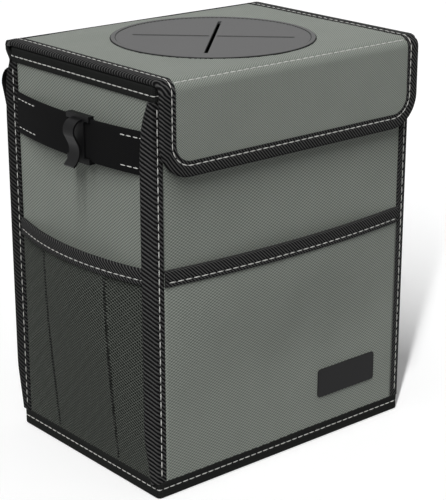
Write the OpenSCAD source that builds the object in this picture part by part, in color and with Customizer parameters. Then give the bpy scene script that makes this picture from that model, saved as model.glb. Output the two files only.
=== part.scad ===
// Car trash bin: a boarded fabric box with a hinged lid, a front flap, a front pocket, pleated mesh
// side pockets, bowed side straps with sliding bag hooks, and two hanging straps with a buckle.
// Lengths are in millimetres. The front faces -Y and the origin is the centre of the underside.

/* [Body] */
// Width of the fabric box
body_w = 210; // [180:1:250]
// Depth of the fabric box
body_d = 147; // [130:1:180]
// Height of the box with its rim tape
body_h = 263; // [240:1:310]

/* [Layers] */
// Thickness of the coated fabric
fabric_t = 1.2; // [0.8:0.1:1.6]
// Thickness of the stiff boards in the walls and the base
board_t = 2.4; // [1.6:0.1:3.4]
// Thickness of the waterproof liner
liner_t = 0.8; // [0.4:0.1:1.4]

/* [Edge tapes] */
// Thickness of a flat run of edge tape
tape_t = 1.2; // [0.8:0.1:1.6]
// Width of tape between its stitch line and its inner edge
tape_in = 5.2; // [3.5:0.1:7]
// Height of the tape round the base
base_band_h = 10.5; // [8:0.5:18]
// Thickness of the tape round the base
base_band_t = 1.8; // [1.2:0.1:2.6]
// Height of the tape round the rim
rim_band_h = 9.2; // [7:0.1:16]
// Rounding of the base and rim tapes at the corners of the box
band_r = 3; // [2:0.1:4]
// Rounding of the top edges of the rim tape
rim_r = 1; // [0.4:0.1:1.2]
// Thickness of the folded seam that stands out at each corner
fin_t = 3.2; // [2.4:0.1:4]
// Length of the folded seam at a front corner
front_fin_len = 8.2; // [6:0.1:12]
// Lean of the front seams away from the side walls, in degrees
front_fin_lean = 40; // [30:1:55]
// Length of the folded seam at a back corner
back_fin_len = 9.6; // [6:0.1:11]
// Length of a seam where it goes under the rim tape
fin_top_len = 4; // [3:0.1:6]
// Length of a seam where it meets the base tape
fin_foot_len = 4.4; // [3:0.1:6]
// Height over which a seam narrows towards the rim tape
fin_top_taper = 50; // [30:1:70]
// Height over which a seam narrows towards the base tape
fin_foot_taper = 30; // [15:1:40]

/* [Lid and flap] */
// Width of the lid over its edge tape
lid_w = 213; // [190:1:256]
// Thickness of the lid and flap boards
lid_board_t = 0.9; // [0.6:0.1:2.4]
// Thickness of the lid and flap lining
lining_t = 0.8; // [0.5:0.1:1.2]
// Thickness of the edge tape that lies over the lid's faces
tape_skin = 0.7; // [0.4:0.1:1]
// Width of the lid's edge tape
lid_tape_w = 10.3; // [8:0.1:13]
// Thickness of the padded outer edge of the lid's tape
lid_roll = 3; // [2:0.1:4]
// Rounding of that padded edge
lid_roll_r = 1.9; // [1:0.1:2.1]
// Gap between the lid and the rim
lid_gap = 0.3; // [0.2:0.05:0.5]
// Distance that the lid and the flap stand out from the rim tape at the front and the back
lid_over = 4; // [3:0.1:5]
// Outer radius of the lid where it turns down into the flap
crease_r = 8; // [7.5:0.1:10]
// Place of the crease stitch on that round, in degrees above the front
crease_angle = 35; // [25:1:45]
// Height of the flap below the top of the lid
flap_drop = 60.2; // [50:0.1:80]
// Radius of the flap's lower corners
flap_r = 22; // [14:0.5:30]

/* [Soft disc] */
// Radius of the soft disc
disc_r = 66; // [60:0.5:68]
// Radius of the hole in the lid under the disc
disc_hole_r = 57; // [50:0.5:59]
// Width of the raised rim of the disc
disc_rim_w = 2.5; // [1.5:0.1:3.5]
// Height of the raised rim over the lid fabric
disc_rim_h = 1.1; // [0.8:0.1:1.5]
// Height of the disc over the lid fabric
disc_h = 0.7; // [0.4:0.1:1]
// Thickness of the petals
petal_t = 1.6; // [1.2:0.1:2.2]
// Place of the disc's centre in front of the lid's middle
disc_forward = 1.2; // [0:0.1:4]
// Length of each slit
slit_len = 104; // [80:1:108]
// Width of the open slit
wide_slit = 2.5; // [1.5:0.1:4]
// Width of the closed slit
thin_slit = 0.5; // [0.3:0.1:1]
// Clearance between the petals and the hole in the lid
disc_clear = 0.3; // [0.2:0.05:0.6]

/* [Pockets] */
// Height of the top edge of the pockets
pocket_top = 148.5; // [110:0.5:180]
// Thickness of the pocket sheets
pocket_t = 1.0; // [0.8:0.1:1.6]
// Height of the tape along a pocket's top edge
pocket_band_h = 9; // [7:0.1:16]
// Distance that the front pocket bows out
front_bow = 7; // [5:0.5:10]
// Height at which the front pocket starts to bow out
front_bow_start = 60; // [55:1:80]
// Distance that a side pocket bows out
side_bow = 9; // [6:0.5:11]
// Distance of the pleats from the middle of a side pocket
pleat_x = 32; // [24:1:44]
// Depth of a pleat
pleat_t = 1.5; // [1:0.1:2.2]

/* [Side straps] */
// Width of the side straps
web_w = 27; // [20:1:32]
// Thickness of the side straps
web_t = 1.4; // [1:0.1:2]
// Distance of the middle of the side straps below the top of the box
web_drop = 41.5; // [31:0.5:70]
// Distance of a side strap from the wall at its middle
web_bow = 7.1; // [6:0.1:10]

/* [Bag hooks] */
// Length of the slider along the strap
slider_len = 22; // [18:0.5:28]
// Wall thickness of the slider
slider_t = 1.2; // [1:0.1:1.6]
// Clearance between the slider and the strap
slider_clear = 0.3; // [0.25:0.05:0.5]
// Overlap of the slider's front lips on the strap
slider_lip = 2; // [1:0.1:3]
// Width of the tongue
tongue_w = 10; // [8:0.5:14]
// Thickness of the tongue
tongue_t = 1.2; // [1:0.1:1.6]
// Radius of the loop that takes a bag's handle
loop_r = 6.5; // [5:0.1:8]
// Height of the loop's middle over the middle of the strap
loop_rise = 5.5; // [3:0.1:7]
// Length of the straight waist between the loop and the curled end
waist_len = 4.5; // [3:0.1:6]
// Radius of the curled end
curl_r = 11; // [8:0.1:13]
// Distance of the hook in front of the strap's middle
hook_forward = 10; // [0:0.5:12]

/* [Hanging straps] */
// Width of the hanging straps
strap_w = 25; // [20:1:30]
// Thickness of the hanging straps
strap_t = 1.3; // [1:0.1:1.6]
// Distance from the side of the box to the outer edge of a hanging strap
strap_inset = 6.5; // [6.5:0.5:20]
// Radius of the turn at the top of a hanging strap
strap_turn_r = 12; // [9:0.1:14]
// Distance of the middle of that turn below the top of the box
strap_turn_drop = 29; // [25:1:50]
// Length of strap that is sewn to the wall below the turn
strap_sewn = 40; // [30:1:60]
// Distance of the buckle bars below the middle of that turn
buckle_drop = 122; // [100:1:140]
// Width of the buckle
buckle_w = 31; // [30:0.5:36]
// Thickness of the buckle
buckle_t = 9; // [8:0.1:11]
// Rounding of the buckle's long edges
buckle_r = 3; // [1:0.1:3.5]
// Wall thickness of the buckle's socket
buckle_wall = 1.6; // [1.2:0.1:2]
// Length of the buckle's socket
socket_len = 32; // [28:0.5:38]
// Height of the windows in the socket's sides
window_h = 13; // [9:0.5:16]
// Height of the plug's shoulder
shoulder_h = 7; // [5:0.5:9]
// Length of the plug's arms
arm_len = 24; // [20:0.5:27]
// Width of the plug's arms
arm_w = 3.4; // [2.6:0.1:4]
// Thickness of the plug's arms and guide
arm_t = 5; // [3:0.1:5.2]
// Distance that each arm's barb stands out
barb = 0.6; // [0.4:0.1:1]
// Width of the guide between the arms
guide_w = 5; // [4:0.1:7]
// Clearance between the plug's arms and the socket
plug_fit = 0.3; // [0.2:0.05:0.5]

/* [Patches] */
// Width of the closure strips
closure_w = 70; // [40:1:120]
// Height of the closure strips
closure_h = 18; // [10:1:24]
// Thickness of a closure strip
closure_t = 2.4; // [1.2:0.1:2.6]
// Width of the rubber patch
patch_w = 52; // [30:0.5:60]
// Height of the rubber patch
patch_h = 20; // [12:0.5:24]
// Thickness of the rubber patch
patch_t = 1.2; // [0.8:0.1:2]
// Rounding of the rubber patch's corners
patch_r = 2; // [1:0.1:4]
// Distance of the patch from the side of the box
patch_inset = 24.25; // [10:0.25:50]
// Height of the middle of the patch
patch_z = 40; // [26:0.5:44]

/* [Hidden] */
$fn = 48;

half_w = body_w / 2;
half_d = body_d / 2;
// The rim tape folds over the top edge of the walls
wall_top = body_h - tape_t;
base_t = fabric_t + board_t;
shell_t = fabric_t + board_t + liner_t;
// A cut runs past the faces that it goes through by this much
past = 1;
// A straight run reaches this far into the round that it joins
join = 0.02;

// Height of the folded corner seams
fin_z0 = base_band_h;
fin_z1 = body_h - rim_band_h;

// Layers of the lid and flap, measured outwards from the inner face of their tape
lid_t = tape_skin + lining_t + lid_board_t + fabric_t + tape_skin;
lining_at = tape_skin;
board_at = lining_at + lining_t;
fabric_at = board_at + lid_board_t;
lid_z = body_h + lid_gap;
lid_fabric_z = lid_z + fabric_at + fabric_t;
lid_half = lid_w / 2;
layer_half = lid_half - lid_roll;
flap_y = -(half_d + tape_t + lid_over);
hinge_y = half_d + tape_t + lid_over;
hinge_z = body_h + lid_gap / 2;
// Middle of the round where the lid turns down into the flap
crease_in_r = crease_r - lid_t;
round_y = flap_y + crease_in_r;
round_z = lid_z - crease_in_r;
// The mitre between the lid and the flap opens by this angle, so that they never rub
mitre_gap = 2;
// Middle of the rounded back edge of the lid
back_y = hinge_y - lid_t;
flap_foot = lid_z + lid_t - flap_drop;

// Pockets
front_pocket_half = half_w - tape_in;
side_pocket_half = half_d - tape_in;
patch_x = half_w - patch_inset - patch_w / 2;
pocket_full_z = pocket_top - pocket_band_h;
pocket_cells = 20;
pocket_rings = 9;
pleat_cells = 5;
pleat_edge = 1;

// Side straps follow a true arc that touches the wall at both ends
web_end_gap = 0.6;
web_chord = half_d - tape_in - web_end_gap;
web_r = (web_chord ^ 2 + web_bow ^ 2) / (2 * web_bow);
web_half_angle = asin(web_chord / web_r);
web_centre = half_w + web_bow - web_r;
web_z = body_h - web_drop;
web_z0 = web_z - web_w / 2;
web_z1 = web_z + web_w / 2;
hook_turn = asin(hook_forward / web_r);
// Angles at which the loop and the curled end of a hook start and end
loop_start_angle = 96;
loop_end_angle = -35;
curl_start_angle = 153;
curl_end_angle = 236;
bend_steps = 14;
arc_fn = 360;
disc_fn = 120;

// Hanging straps
strap_edge = half_w - strap_inset;
strap_mid = strap_edge - strap_w / 2;
strap_turn_z = body_h - strap_turn_drop;
buckle_z = strap_turn_z - buckle_drop;
strap_wall_y = half_d + strap_t / 2;
bar_r = 2.2;
bar_clear = 0.3;
buckle_gap = 0.4;
bar_y = half_d + buckle_t / 2 + buckle_gap;
bar_wrap_r = bar_r + bar_clear + strap_t / 2;
strap_tail = 24;
hang_steps = 6;
// The slot over a buckle's sleeve lets the strap pass
buckle_top = buckle_z - bar_wrap_r - strap_t;

// Points and outlines

function arc_points(c, r, a0, a1, n) =
    [for (i = [0:n]) let (a = a0 + (a1 - a0) * i / n) [c[0] + r * cos(a), c[1] + r * sin(a)]];

function rounded_rect(hx, hy, r, n = 8) = concat(
    arc_points([hx - r, hy - r], r, 0, 90, n),
    arc_points([r - hx, hy - r], r, 90, 180, n),
    arc_points([r - hx, r - hy], r, 180, 270, n),
    arc_points([hx - r, r - hy], r, 270, 360, n));

function reversed(p) = [for (i = [len(p) - 1:-1:0]) p[i]];

function turned_left(v) = [-v[1], v[0]] / norm(v);

function beside(p, offset) = [for (i = [0:len(p) - 1])
    p[i] + offset * turned_left(p[min(i + 1, len(p) - 1)] - p[max(i - 1, 0)])];

// Outline of a strip of thickness t that follows the path p
function strip_outline(p, t) = concat(beside(p, t / 2), reversed(beside(p, -t / 2)));

// Section of the edge tape of the lid and flap: x runs inwards from the outer edge, y outwards
// from the inner face
function lid_tape_section() = let (r = min(lid_roll_r, lid_roll)) concat(
    [[lid_tape_w, lid_t]],
    arc_points([r, lid_t - r], r, 90, 180, 5),
    arc_points([r, r], r, 180, 270, 5),
    [[lid_tape_w, 0], [lid_tape_w, tape_skin], [lid_roll, tape_skin],
     [lid_roll, lid_t - tape_skin], [lid_tape_w, lid_t - tape_skin]]);

// Outline of a layer of the flap, in the plane of the front, from the round down to the foot
function flap_outline(inset) = let (h = lid_half - inset, r = flap_r - inset) concat(
    [[h, round_z], [-h, round_z]],
    arc_points([r - h, flap_foot + flap_r], r, 180, 270, 10),
    arc_points([h - r, flap_foot + flap_r], r, 270, 360, 10));

// Bow of a pocket: nothing at its side seams and at z0, full from z1 up to the tape
function ramp(v) = let (c = max(0, min(1, v))) c * c * (3 - 2 * c);
function bow_across(x, half) = 1 - (x / half) ^ 2;
function front_pocket_bow(x, z) = front_bow * bow_across(x, front_pocket_half)
    * ramp((z - front_bow_start) / (pocket_full_z - front_bow_start));
function side_pocket_bow(x, z) =
    let (rise = max(0, min(1, (z - base_band_h) / (pocket_full_z - base_band_h))))
    sin(90 * rise) * (side_bow * bow_across(x, side_pocket_half)
        + (abs(x) < pleat_x + pleat_edge / 2 ? pleat_t : 0));

// Stations along a pocket, closer at the two sides of each pleat
function front_stations() =
    [for (i = [0:pocket_cells]) front_pocket_half * (2 * i / pocket_cells - 1)];
function side_stations() =
    let (outer = side_pocket_half - pleat_x - pleat_edge, n = pleat_cells,
         left = [for (i = [0:n]) -side_pocket_half + outer * i / n],
         middle = [for (i = [0:2 * n]) pleat_x * (i / n - 1)])
    concat(left, middle, [for (x = reversed(left)) -x]);
function pocket_heights(start) = concat(
    [for (j = [0:pocket_rings - 1]) start + (pocket_full_z - start) * j / (pocket_rings - 1)],
    [pocket_top]);

// Solids shared by several pieces

module body_block() {
    translate([-half_w, -half_d, -past]) cube([body_w, body_d, body_h + 2 * past]);
}

module box_between(lo, hi) {
    translate(lo) cube(hi - lo);
}

// A sheet whose outer face stands at depth[i][j] in front of the wall plane y = 0
module bowed_sheet(xs, zs, depth, t) {
    nx = len(xs);
    nz = len(zs);
    outer = [for (i = [0:nx - 1]) for (j = [0:nz - 1]) [xs[i], -depth[i][j] - t, zs[j]]];
    inner = [for (i = [0:nx - 1]) for (j = [0:nz - 1]) [xs[i], -depth[i][j], zs[j]]];
    function o(i, j) = i * nz + j;
    function n(i, j) = nx * nz + o(i, j);
    function two(a, b, c, d) = [[a, b, c], [a, c, d]];
    polyhedron(points = concat(outer, inner), faces = concat(
        [for (i = [0:nx - 2]) for (j = [0:nz - 2]) each concat(
            two(o(i, j), o(i, j + 1), o(i + 1, j + 1), o(i + 1, j)),
            two(n(i, j), n(i + 1, j), n(i + 1, j + 1), n(i, j + 1)))],
        [for (j = [0:nz - 2]) each concat(
            two(n(0, j), n(0, j + 1), o(0, j + 1), o(0, j)),
            two(o(nx - 1, j), o(nx - 1, j + 1), n(nx - 1, j + 1), n(nx - 1, j)))],
        [for (i = [0:nx - 2]) each concat(
            two(o(i, 0), o(i + 1, 0), n(i + 1, 0), n(i, 0)),
            two(o(i + 1, nz - 1), o(i, nz - 1), n(i, nz - 1), n(i + 1, nz - 1)))]));
}

// Tape folded over the top edge of a bowed sheet, in front of the wall plane y = 0
module bowed_tape(xs, bow, t) {
    function line(offset) = [for (i = [0:len(xs) - 1]) [xs[i], -bow[i] - offset]];
    function between(a, b) = concat(line(a), reversed(line(b)));
    difference() {
        translate([0, 0, pocket_full_z])
            linear_extrude(pocket_band_h + tape_t) polygon(between(t + tape_t, -tape_t));
        translate([0, 0, pocket_full_z - past])
            linear_extrude(pocket_band_h + past) polygon(between(t, 0));
        translate([-half_w, 0, 0]) cube([body_w, half_d, body_h]);
    }
}

// The wall plane of a child drawn in front of y = 0 is moved to a wall of the box
module on_front() { translate([0, -half_d, 0]) children(); }
module on_left() { translate([-half_w, 0, 0]) rotate([0, 0, -90]) children(); }
module on_right() { mirror([1, 0, 0]) on_left() children(); }

// Sweep about an axis along X at (y, z): 0 degrees is the front, 90 the top and 180 the back
module sweep_about_x(y, z, a0, a1) {
    translate([0, y, z]) rotate([90, 0, -90]) rotate([0, 0, a0])
        rotate_extrude(angle = a1 - a0) children();
}

// An outline drawn in (y, z), extruded along X from x0 to x1
module across(x0, x1) {
    translate([x0, 0, 0]) rotate([90, 0, 90]) linear_extrude(x1 - x0) children();
}

// Walls, base and liner

module wall_sheet(inset, t, z0) {
    translate([-half_w + inset, -half_d + inset, z0])
        cube([body_w - 2 * inset, t, wall_top - z0]);
}

module side_sheet(inset, t, z0) {
    translate([-half_w + inset, -half_d + inset + t, z0])
        cube([t, body_d - 2 * (inset + t), wall_top - z0]);
}

module front_panel() { color("#6c7169") wall_sheet(0, fabric_t, 0); }
module back_panel() { color("#6c7169") mirror([0, 1, 0]) wall_sheet(0, fabric_t, 0); }
module left_panel() { color("#6c7169") side_sheet(0, fabric_t, 0); }
module right_panel() { color("#6c7169") mirror([1, 0, 0]) side_sheet(0, fabric_t, 0); }

module base_panel() {
    color("#2b2b2b") box_between([fabric_t - half_w, fabric_t - half_d, 0],
                                 [half_w - fabric_t, half_d - fabric_t, fabric_t]);
}

module front_board() { color("#d8d4c8") wall_sheet(fabric_t, board_t, base_t); }
module back_board() { color("#d8d4c8") mirror([0, 1, 0]) wall_sheet(fabric_t, board_t, base_t); }
module left_board() { color("#d8d4c8") side_sheet(fabric_t, board_t, base_t); }
module right_board() { color("#d8d4c8") mirror([1, 0, 0]) side_sheet(fabric_t, board_t, base_t); }

module base_board() {
    color("#d8d4c8") box_between([fabric_t - half_w, fabric_t - half_d, fabric_t],
                                 [half_w - fabric_t, half_d - fabric_t, base_t]);
}

module liner() {
    color("#3a3c3d") difference() {
        box_between([base_t - half_w, base_t - half_d, base_t],
                    [half_w - base_t, half_d - base_t, wall_top]);
        box_between([shell_t - half_w, shell_t - half_d, shell_t],
                    [half_w - shell_t, half_d - shell_t, wall_top + past]);
    }
}

// Edge tapes of the box

module band(z0, z1, t) {
    translate([0, 0, z0]) linear_extrude(z1 - z0) polygon(rounded_rect(half_w + t, half_d + t, band_r));
}

module base_tape() {
    color("#1f1f20") difference() {
        band(0, base_band_h, base_band_t);
        body_block();
    }
}

// Block as high as the rim, with its two long top edges rounded
module rim_block(half_l, half_y) {
    across(-half_l, half_l) polygon(concat(
        [[half_y, 0]], arc_points([half_y - rim_r, body_h - rim_r], rim_r, 0, 90, bend_steps),
        arc_points([rim_r - half_y, body_h - rim_r], rim_r, 90, 180, bend_steps), [[-half_y, 0]]));
}

module rim_tape() {
    color("#1a1a1b") difference() {
        intersection() {
            band(body_h - rim_band_h, body_h, tape_t);
            rim_block(half_w + 2 * tape_t, half_d + tape_t);
            rotate([0, 0, 90]) rim_block(half_d + 2 * tape_t, half_w + tape_t);
        }
        difference() {
            box_between([-half_w, -half_d, 0], [half_w, half_d, wall_top]);
            box_between([shell_t - half_w, shell_t - half_d, -past],
                        [half_w - shell_t, half_d - shell_t, body_h]);
        }
        box_between([shell_t + tape_t - half_w, shell_t + tape_t - half_d, 0],
                    [half_w - shell_t - tape_t, half_d - shell_t - tape_t, body_h + past]);
    }
}

// Side outline of a folded corner seam, narrower towards the rim and the base
module fin_leaf(len) {
    reach = 4 * fin_t;
    shoulder = len - (len - fin_top_len) / 3;
    rotate([90, 0, 0]) linear_extrude(8 * fin_t, center = true) polygon([
        [-reach, fin_z0], [fin_foot_len, fin_z0], [len, fin_z0 + fin_foot_taper],
        [len, fin_z1 - fin_top_taper], [shoulder, fin_z1 - fin_top_taper / 2],
        [fin_top_len, fin_z1], [-reach, fin_z1]]);
}

// Front seam: a flat strip on the front, and a folded edge that leans back over the side wall
module front_seam() {
    root = [-half_w - fin_t / 4, -half_d - tape_t + fin_t / 2];
    difference() {
        intersection() {
            translate([0, 0, fin_z0]) linear_extrude(fin_z1 - fin_z0) {
                translate([root[0], -half_d - tape_t])
                    square([tape_in - half_w - root[0], tape_t]);
                translate(root) circle(d = fin_t);
                translate(root) rotate(90 + front_fin_lean) {
                    translate([0, -fin_t / 2]) square([front_fin_len - fin_t / 2, fin_t]);
                    translate([front_fin_len - fin_t / 2, 0]) circle(d = fin_t);
                }
            }
            translate(root) rotate([0, 0, 90 + front_fin_lean]) fin_leaf(front_fin_len);
        }
        body_block();
    }
}

// Back seam: a flat strip on the side wall, and a folded edge that stands out behind the box
module back_seam() {
    root = [-half_w - tape_t + fin_t / 2, half_d];
    intersection() {
        translate([0, 0, fin_z0]) linear_extrude(fin_z1 - fin_z0) {
            translate([-half_w - tape_t, half_d - tape_in]) square([tape_t, tape_in]);
            translate([-half_w - tape_t, half_d]) square([fin_t, back_fin_len - fin_t / 2]);
            translate([root[0], half_d + back_fin_len - fin_t / 2]) circle(d = fin_t);
        }
        translate(root) rotate([0, 0, 90]) fin_leaf(back_fin_len);
    }
}

module front_left_tape() { color("#262627") front_seam(); }
module front_right_tape() { color("#262627") mirror([1, 0, 0]) front_seam(); }
module back_left_tape() { color("#262627") back_seam(); }
module back_right_tape() { color("#262627") mirror([1, 0, 0]) back_seam(); }

// Pockets

function depths(xs, zs, front) = [for (x = xs) [for (z = zs)
    front ? front_pocket_bow(x, z) : side_pocket_bow(x, z)]];

module front_pocket() {
    xs = front_stations();
    zs = concat([base_band_h], pocket_heights(front_bow_start));
    color("#6c7169") on_front() bowed_sheet(xs, zs, depths(xs, zs, true), pocket_t);
}

module front_pocket_tape() {
    xs = front_stations();
    color("#1f1f20") on_front()
        bowed_tape(xs, [for (x = xs) front_pocket_bow(x, pocket_top)], pocket_t);
}

module side_pocket() {
    xs = side_stations();
    zs = pocket_heights(base_band_h);
    bowed_sheet(xs, zs, depths(xs, zs, false), pocket_t);
}

module side_pocket_tape() {
    xs = side_stations();
    bowed_tape(xs, [for (x = xs) side_pocket_bow(x, pocket_top)], pocket_t);
}

module left_mesh_pocket() { color("#3c403c") on_left() side_pocket(); }
module left_pocket_tape() { color("#1f1f20") on_left() side_pocket_tape(); }
module right_mesh_pocket() { color("#3c403c") on_right() side_pocket(); }
module right_pocket_tape() { color("#1f1f20") on_right() side_pocket_tape(); }

module bare_patch() {
    color("#232324") translate([patch_x, -half_d - pocket_t, patch_z]) rotate([90, 0, 0])
        linear_extrude(patch_t) polygon(rounded_rect(patch_w / 2, patch_h / 2, patch_r));
}

// Side straps and bag hooks

// Part of a ring about the middle of the strap's arc, which lies on the X axis
module strap_arc(r0, r1, z0, z1, half_angle) {
    rotate([0, 0, -half_angle]) rotate_extrude(angle = 2 * half_angle, $fn = arc_fn)
        translate([r0, z0]) square([r1 - r0, z1 - z0]);
}

module left_arc(turn = 0) {
    translate([-web_centre, 0, 0]) rotate([0, 0, 180 + turn]) children();
}

module side_strap() { strap_arc(web_r, web_r + web_t, web_z0, web_z1, web_half_angle); }

module left_side_strap() { color("#1c1c1d") left_arc() side_strap(); }
module right_side_strap() { color("#1c1c1d") mirror([1, 0, 0]) left_arc() side_strap(); }

// Tongue: a loop that stands out from the slider and a lower end that curls back outwards
module tongue() {
    loop_mid = [web_r + web_t + slider_clear + slider_t, web_z + loop_rise];
    waist = loop_mid + loop_r * [cos(loop_end_angle), sin(loop_end_angle)];
    curl_mid = waist - waist_len * [sin(curl_start_angle), -cos(curl_start_angle)]
        - curl_r * [cos(curl_start_angle), sin(curl_start_angle)];
    path = concat(arc_points(loop_mid, loop_r, loop_start_angle, loop_end_angle, bend_steps),
                  arc_points(curl_mid, curl_r, curl_start_angle, curl_end_angle, bend_steps));
    translate([0, tongue_w / 2, 0]) rotate([90, 0, 0])
        linear_extrude(tongue_w) polygon(strip_outline(path, tongue_t));
}

// Slider: a sleeve round the strap, open at the front at each side of the tongue
module bag_hook() {
    in_r = web_r - slider_clear;
    out_r = web_r + web_t + slider_clear;
    z0 = web_z0 - slider_clear;
    z1 = web_z1 + slider_clear;
    wide = asin(slider_len / 2 / web_r);
    narrow = asin((tongue_w / 2 + slider_t) / web_r);
    difference() {
        strap_arc(in_r - slider_t, out_r + slider_t, z0 - slider_t, z1 + slider_t, wide);
        strap_arc(in_r, out_r, z0, z1, 2 * wide);
        for (side = [-1, 1])
            rotate([0, 0, side * (narrow + wide)])
                strap_arc(web_r, out_r + slider_t + past, web_z0 + slider_lip, web_z1 - slider_lip, wide);
    }
    tongue();
}

module left_bag_hook() { color("#28282a") left_arc(hook_turn) bag_hook(); }
module right_bag_hook() { color("#28282a") mirror([1, 0, 0]) left_arc(hook_turn) bag_hook(); }

// Hanging straps and buckle

// The strap is sewn to the wall, turns over outwards, hangs down and wraps the buckle's bar
function hanging_path() = let (turn_y = strap_wall_y + strap_turn_r) concat(
    [[strap_wall_y, strap_turn_z - strap_sewn]],
    arc_points([turn_y, strap_turn_z], strap_turn_r, 180, 0, bend_steps),
    [for (i = [1:hang_steps - 1]) let (k = i / hang_steps)
        [bar_y + bar_wrap_r + (turn_y + strap_turn_r - bar_y - bar_wrap_r) * (1 - k) ^ 2,
         strap_turn_z + (buckle_z + strap_tail - strap_turn_z) * k]],
    [[bar_y + bar_wrap_r, buckle_z + strap_tail]],
    arc_points([bar_y, buckle_z], bar_wrap_r, 0, -180, bend_steps),
    [[bar_y - bar_wrap_r, buckle_z + strap_tail]]);

module hanging_strap() {
    across(-strap_edge, strap_w - strap_edge) polygon(strip_outline(hanging_path(), strap_t));
}

module left_hanging_strap() { color("#1c1c1d") hanging_strap(); }
module right_hanging_strap() { color("#1c1c1d") mirror([1, 0, 0]) hanging_strap(); }

// Frame round the strap's slot, with the bar that the strap wraps
module buckle_frame(foot) {
    rail = (buckle_w - strap_w) / 2 - bar_clear;
    top = buckle_z + bar_r;
    for (side = [-1, 1])
        translate([side * (buckle_w - rail) / 2, bar_y, (top + foot) / 2])
            cube([rail, 2 * bar_r, top - foot], center = true);
    translate([0, bar_y, buckle_z]) rotate([0, 90, 0]) cylinder(r = bar_r, h = buckle_w, center = true);
}

// Block of the buckle's section, from the sleeve's top down
module buckle_block(height) {
    translate([0, bar_y, buckle_top - height]) linear_extrude(height)
        polygon(rounded_rect(buckle_w / 2, buckle_t / 2, buckle_r));
}

// Socket: a flat sleeve open at the foot, with a window at each side for the plug's arms
module socket() {
    room = [buckle_w - 2 * buckle_wall, buckle_t - 2 * buckle_wall];
    difference() {
        buckle_block(socket_len);
        translate([-room[0] / 2, bar_y - room[1] / 2, buckle_top - socket_len - past])
            cube([room[0], room[1], socket_len - buckle_wall + past]);
        translate([0, bar_y, buckle_top - socket_len / 2])
            cube([buckle_w + past, room[1], window_h], center = true);
    }
    buckle_frame(buckle_top - past);
}

// Plug: a shoulder with two sprung arms and a guide between them
module plug() {
    out = buckle_w / 2 - buckle_wall - plug_fit;
    barb_at = socket_len / 2 - shoulder_h + window_h / 2;
    arm = [[out - arm_w - barb, past], [out, past], [out, 4 * barb - barb_at], [out + barb, -barb_at],
           [out - barb, -arm_len], [out - arm_w, -arm_len], [out - arm_w, -barb_at]];
    buckle_block(shoulder_h);
    translate([0, bar_y + arm_t / 2, buckle_top - shoulder_h]) rotate([90, 0, 0])
        linear_extrude(arm_t) {
            for (side = [0, 1]) mirror([side, 0]) polygon(arm);
            translate([-guide_w / 2, barb - arm_len]) square([guide_w, arm_len + past]);
        }
    buckle_frame(buckle_top - past);
}

module buckle_socket() { color("#242426") translate([-strap_mid, 0, 0]) socket(); }
module buckle_plug() { color("#242426") translate([strap_mid, 0, 0]) plug(); }

// Lid

// Points of a lid layer's face at height t, from the crease to the back edge, in (y, z)
function lid_face(t, round_back) = concat(
    arc_points([round_y, round_z], crease_in_r + t, 180 - crease_angle, 90, bend_steps),
    round_back ? arc_points([back_y, lid_z], t, 90, 0, bend_steps) : [[back_y, lid_z + t]]);

// A layer of the lid at height t0 to t1 over its underside, with the hole under the disc
module lid_layer(t0, t1, round_back) {
    difference() {
        across(-layer_half, layer_half)
            polygon(concat(lid_face(t1, round_back), reversed(lid_face(t0, round_back))));
        disc_hole();
    }
}

module disc_hole() {
    translate([0, -disc_forward, lid_z]) cylinder(r = disc_hole_r, h = lid_t + past, $fn = disc_fn);
}

// A thin layer that follows a round of the lid or flap
module round_layer(y, z, r0, r1, a0, a1) {
    sweep_about_x(y, z, a0, a1) translate([r0, -layer_half]) square([r1 - r0, 2 * layer_half]);
}

module lid_panel() { color("#868a83") lid_layer(fabric_at, fabric_at + fabric_t, true); }
module lid_lining() { color("#3a3c3d") lid_layer(lining_at, board_at, false); }

module lid_board() {
    color("#d8d4c8") difference() {
        box_between([-layer_half, round_y, lid_z + board_at], [layer_half, back_y, lid_z + fabric_at]);
        disc_hole();
    }
}

// One side of the tape of the lid, from the crease to the rounded back edge
module lid_side_tape() {
    translate([-lid_half, back_y + join, lid_z]) rotate([90, 0, 0])
        linear_extrude(back_y - round_y + 2 * join) polygon(lid_tape_section());
    sweep_about_x(round_y, round_z, crease_angle, 90)
        polygon([for (p = lid_tape_section()) [crease_in_r + p[1], lid_half - p[0]]]);
    sweep_about_x(back_y, lid_z, 90, 180)
        polygon([for (p = lid_tape_section()) [p[1], lid_half - p[0]]]);
}

module lid_tape() {
    color("#1f1f20") {
        lid_side_tape();
        mirror([1, 0, 0]) lid_side_tape();
    }
}

// A slit with round ends, cut along the X axis
module slit(width) {
    cut_h = 2 * (petal_t + disc_rim_h + past);
    cube([slit_len - width, width, cut_h], center = true);
    for (side = [-1, 1])
        translate([side * (slit_len - width) / 2, 0, 0]) cylinder(d = width, h = cut_h, center = true);
}

// Soft disc: a flange that is sewn on the lid, a raised rim, and four petals over the hole
module slit_disc() {
    color("#5c5e5c") translate([0, -disc_forward, lid_fabric_z]) difference() {
        union() {
            cylinder(r = disc_r, h = disc_h, $fn = disc_fn);
            translate([0, 0, disc_h - petal_t])
                cylinder(r = disc_hole_r - disc_clear, h = petal_t, $fn = disc_fn);
            difference() {
                cylinder(r = disc_r, h = disc_rim_h, $fn = disc_fn);
                translate([0, 0, -past])
                    cylinder(r = disc_r - disc_rim_w, h = disc_rim_h + 2 * past, $fn = disc_fn);
            }
        }
        rotate([0, 0, 45]) slit(wide_slit);
        rotate([0, 0, -45]) slit(thin_slit);
    }
}

// Flap

// A layer of the flap at t0 to t1 outwards from its inner face, with its part of the round
module flap_layer(t0, t1, turn) {
    translate([0, flap_y - t0, 0]) rotate([90, 0, 0])
        linear_extrude(t1 - t0) polygon(flap_outline(lid_roll));
    if (turn)
        round_layer(round_y, round_z, crease_in_r + t0, crease_in_r + t1,
                    0, crease_angle - mitre_gap);
}

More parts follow.
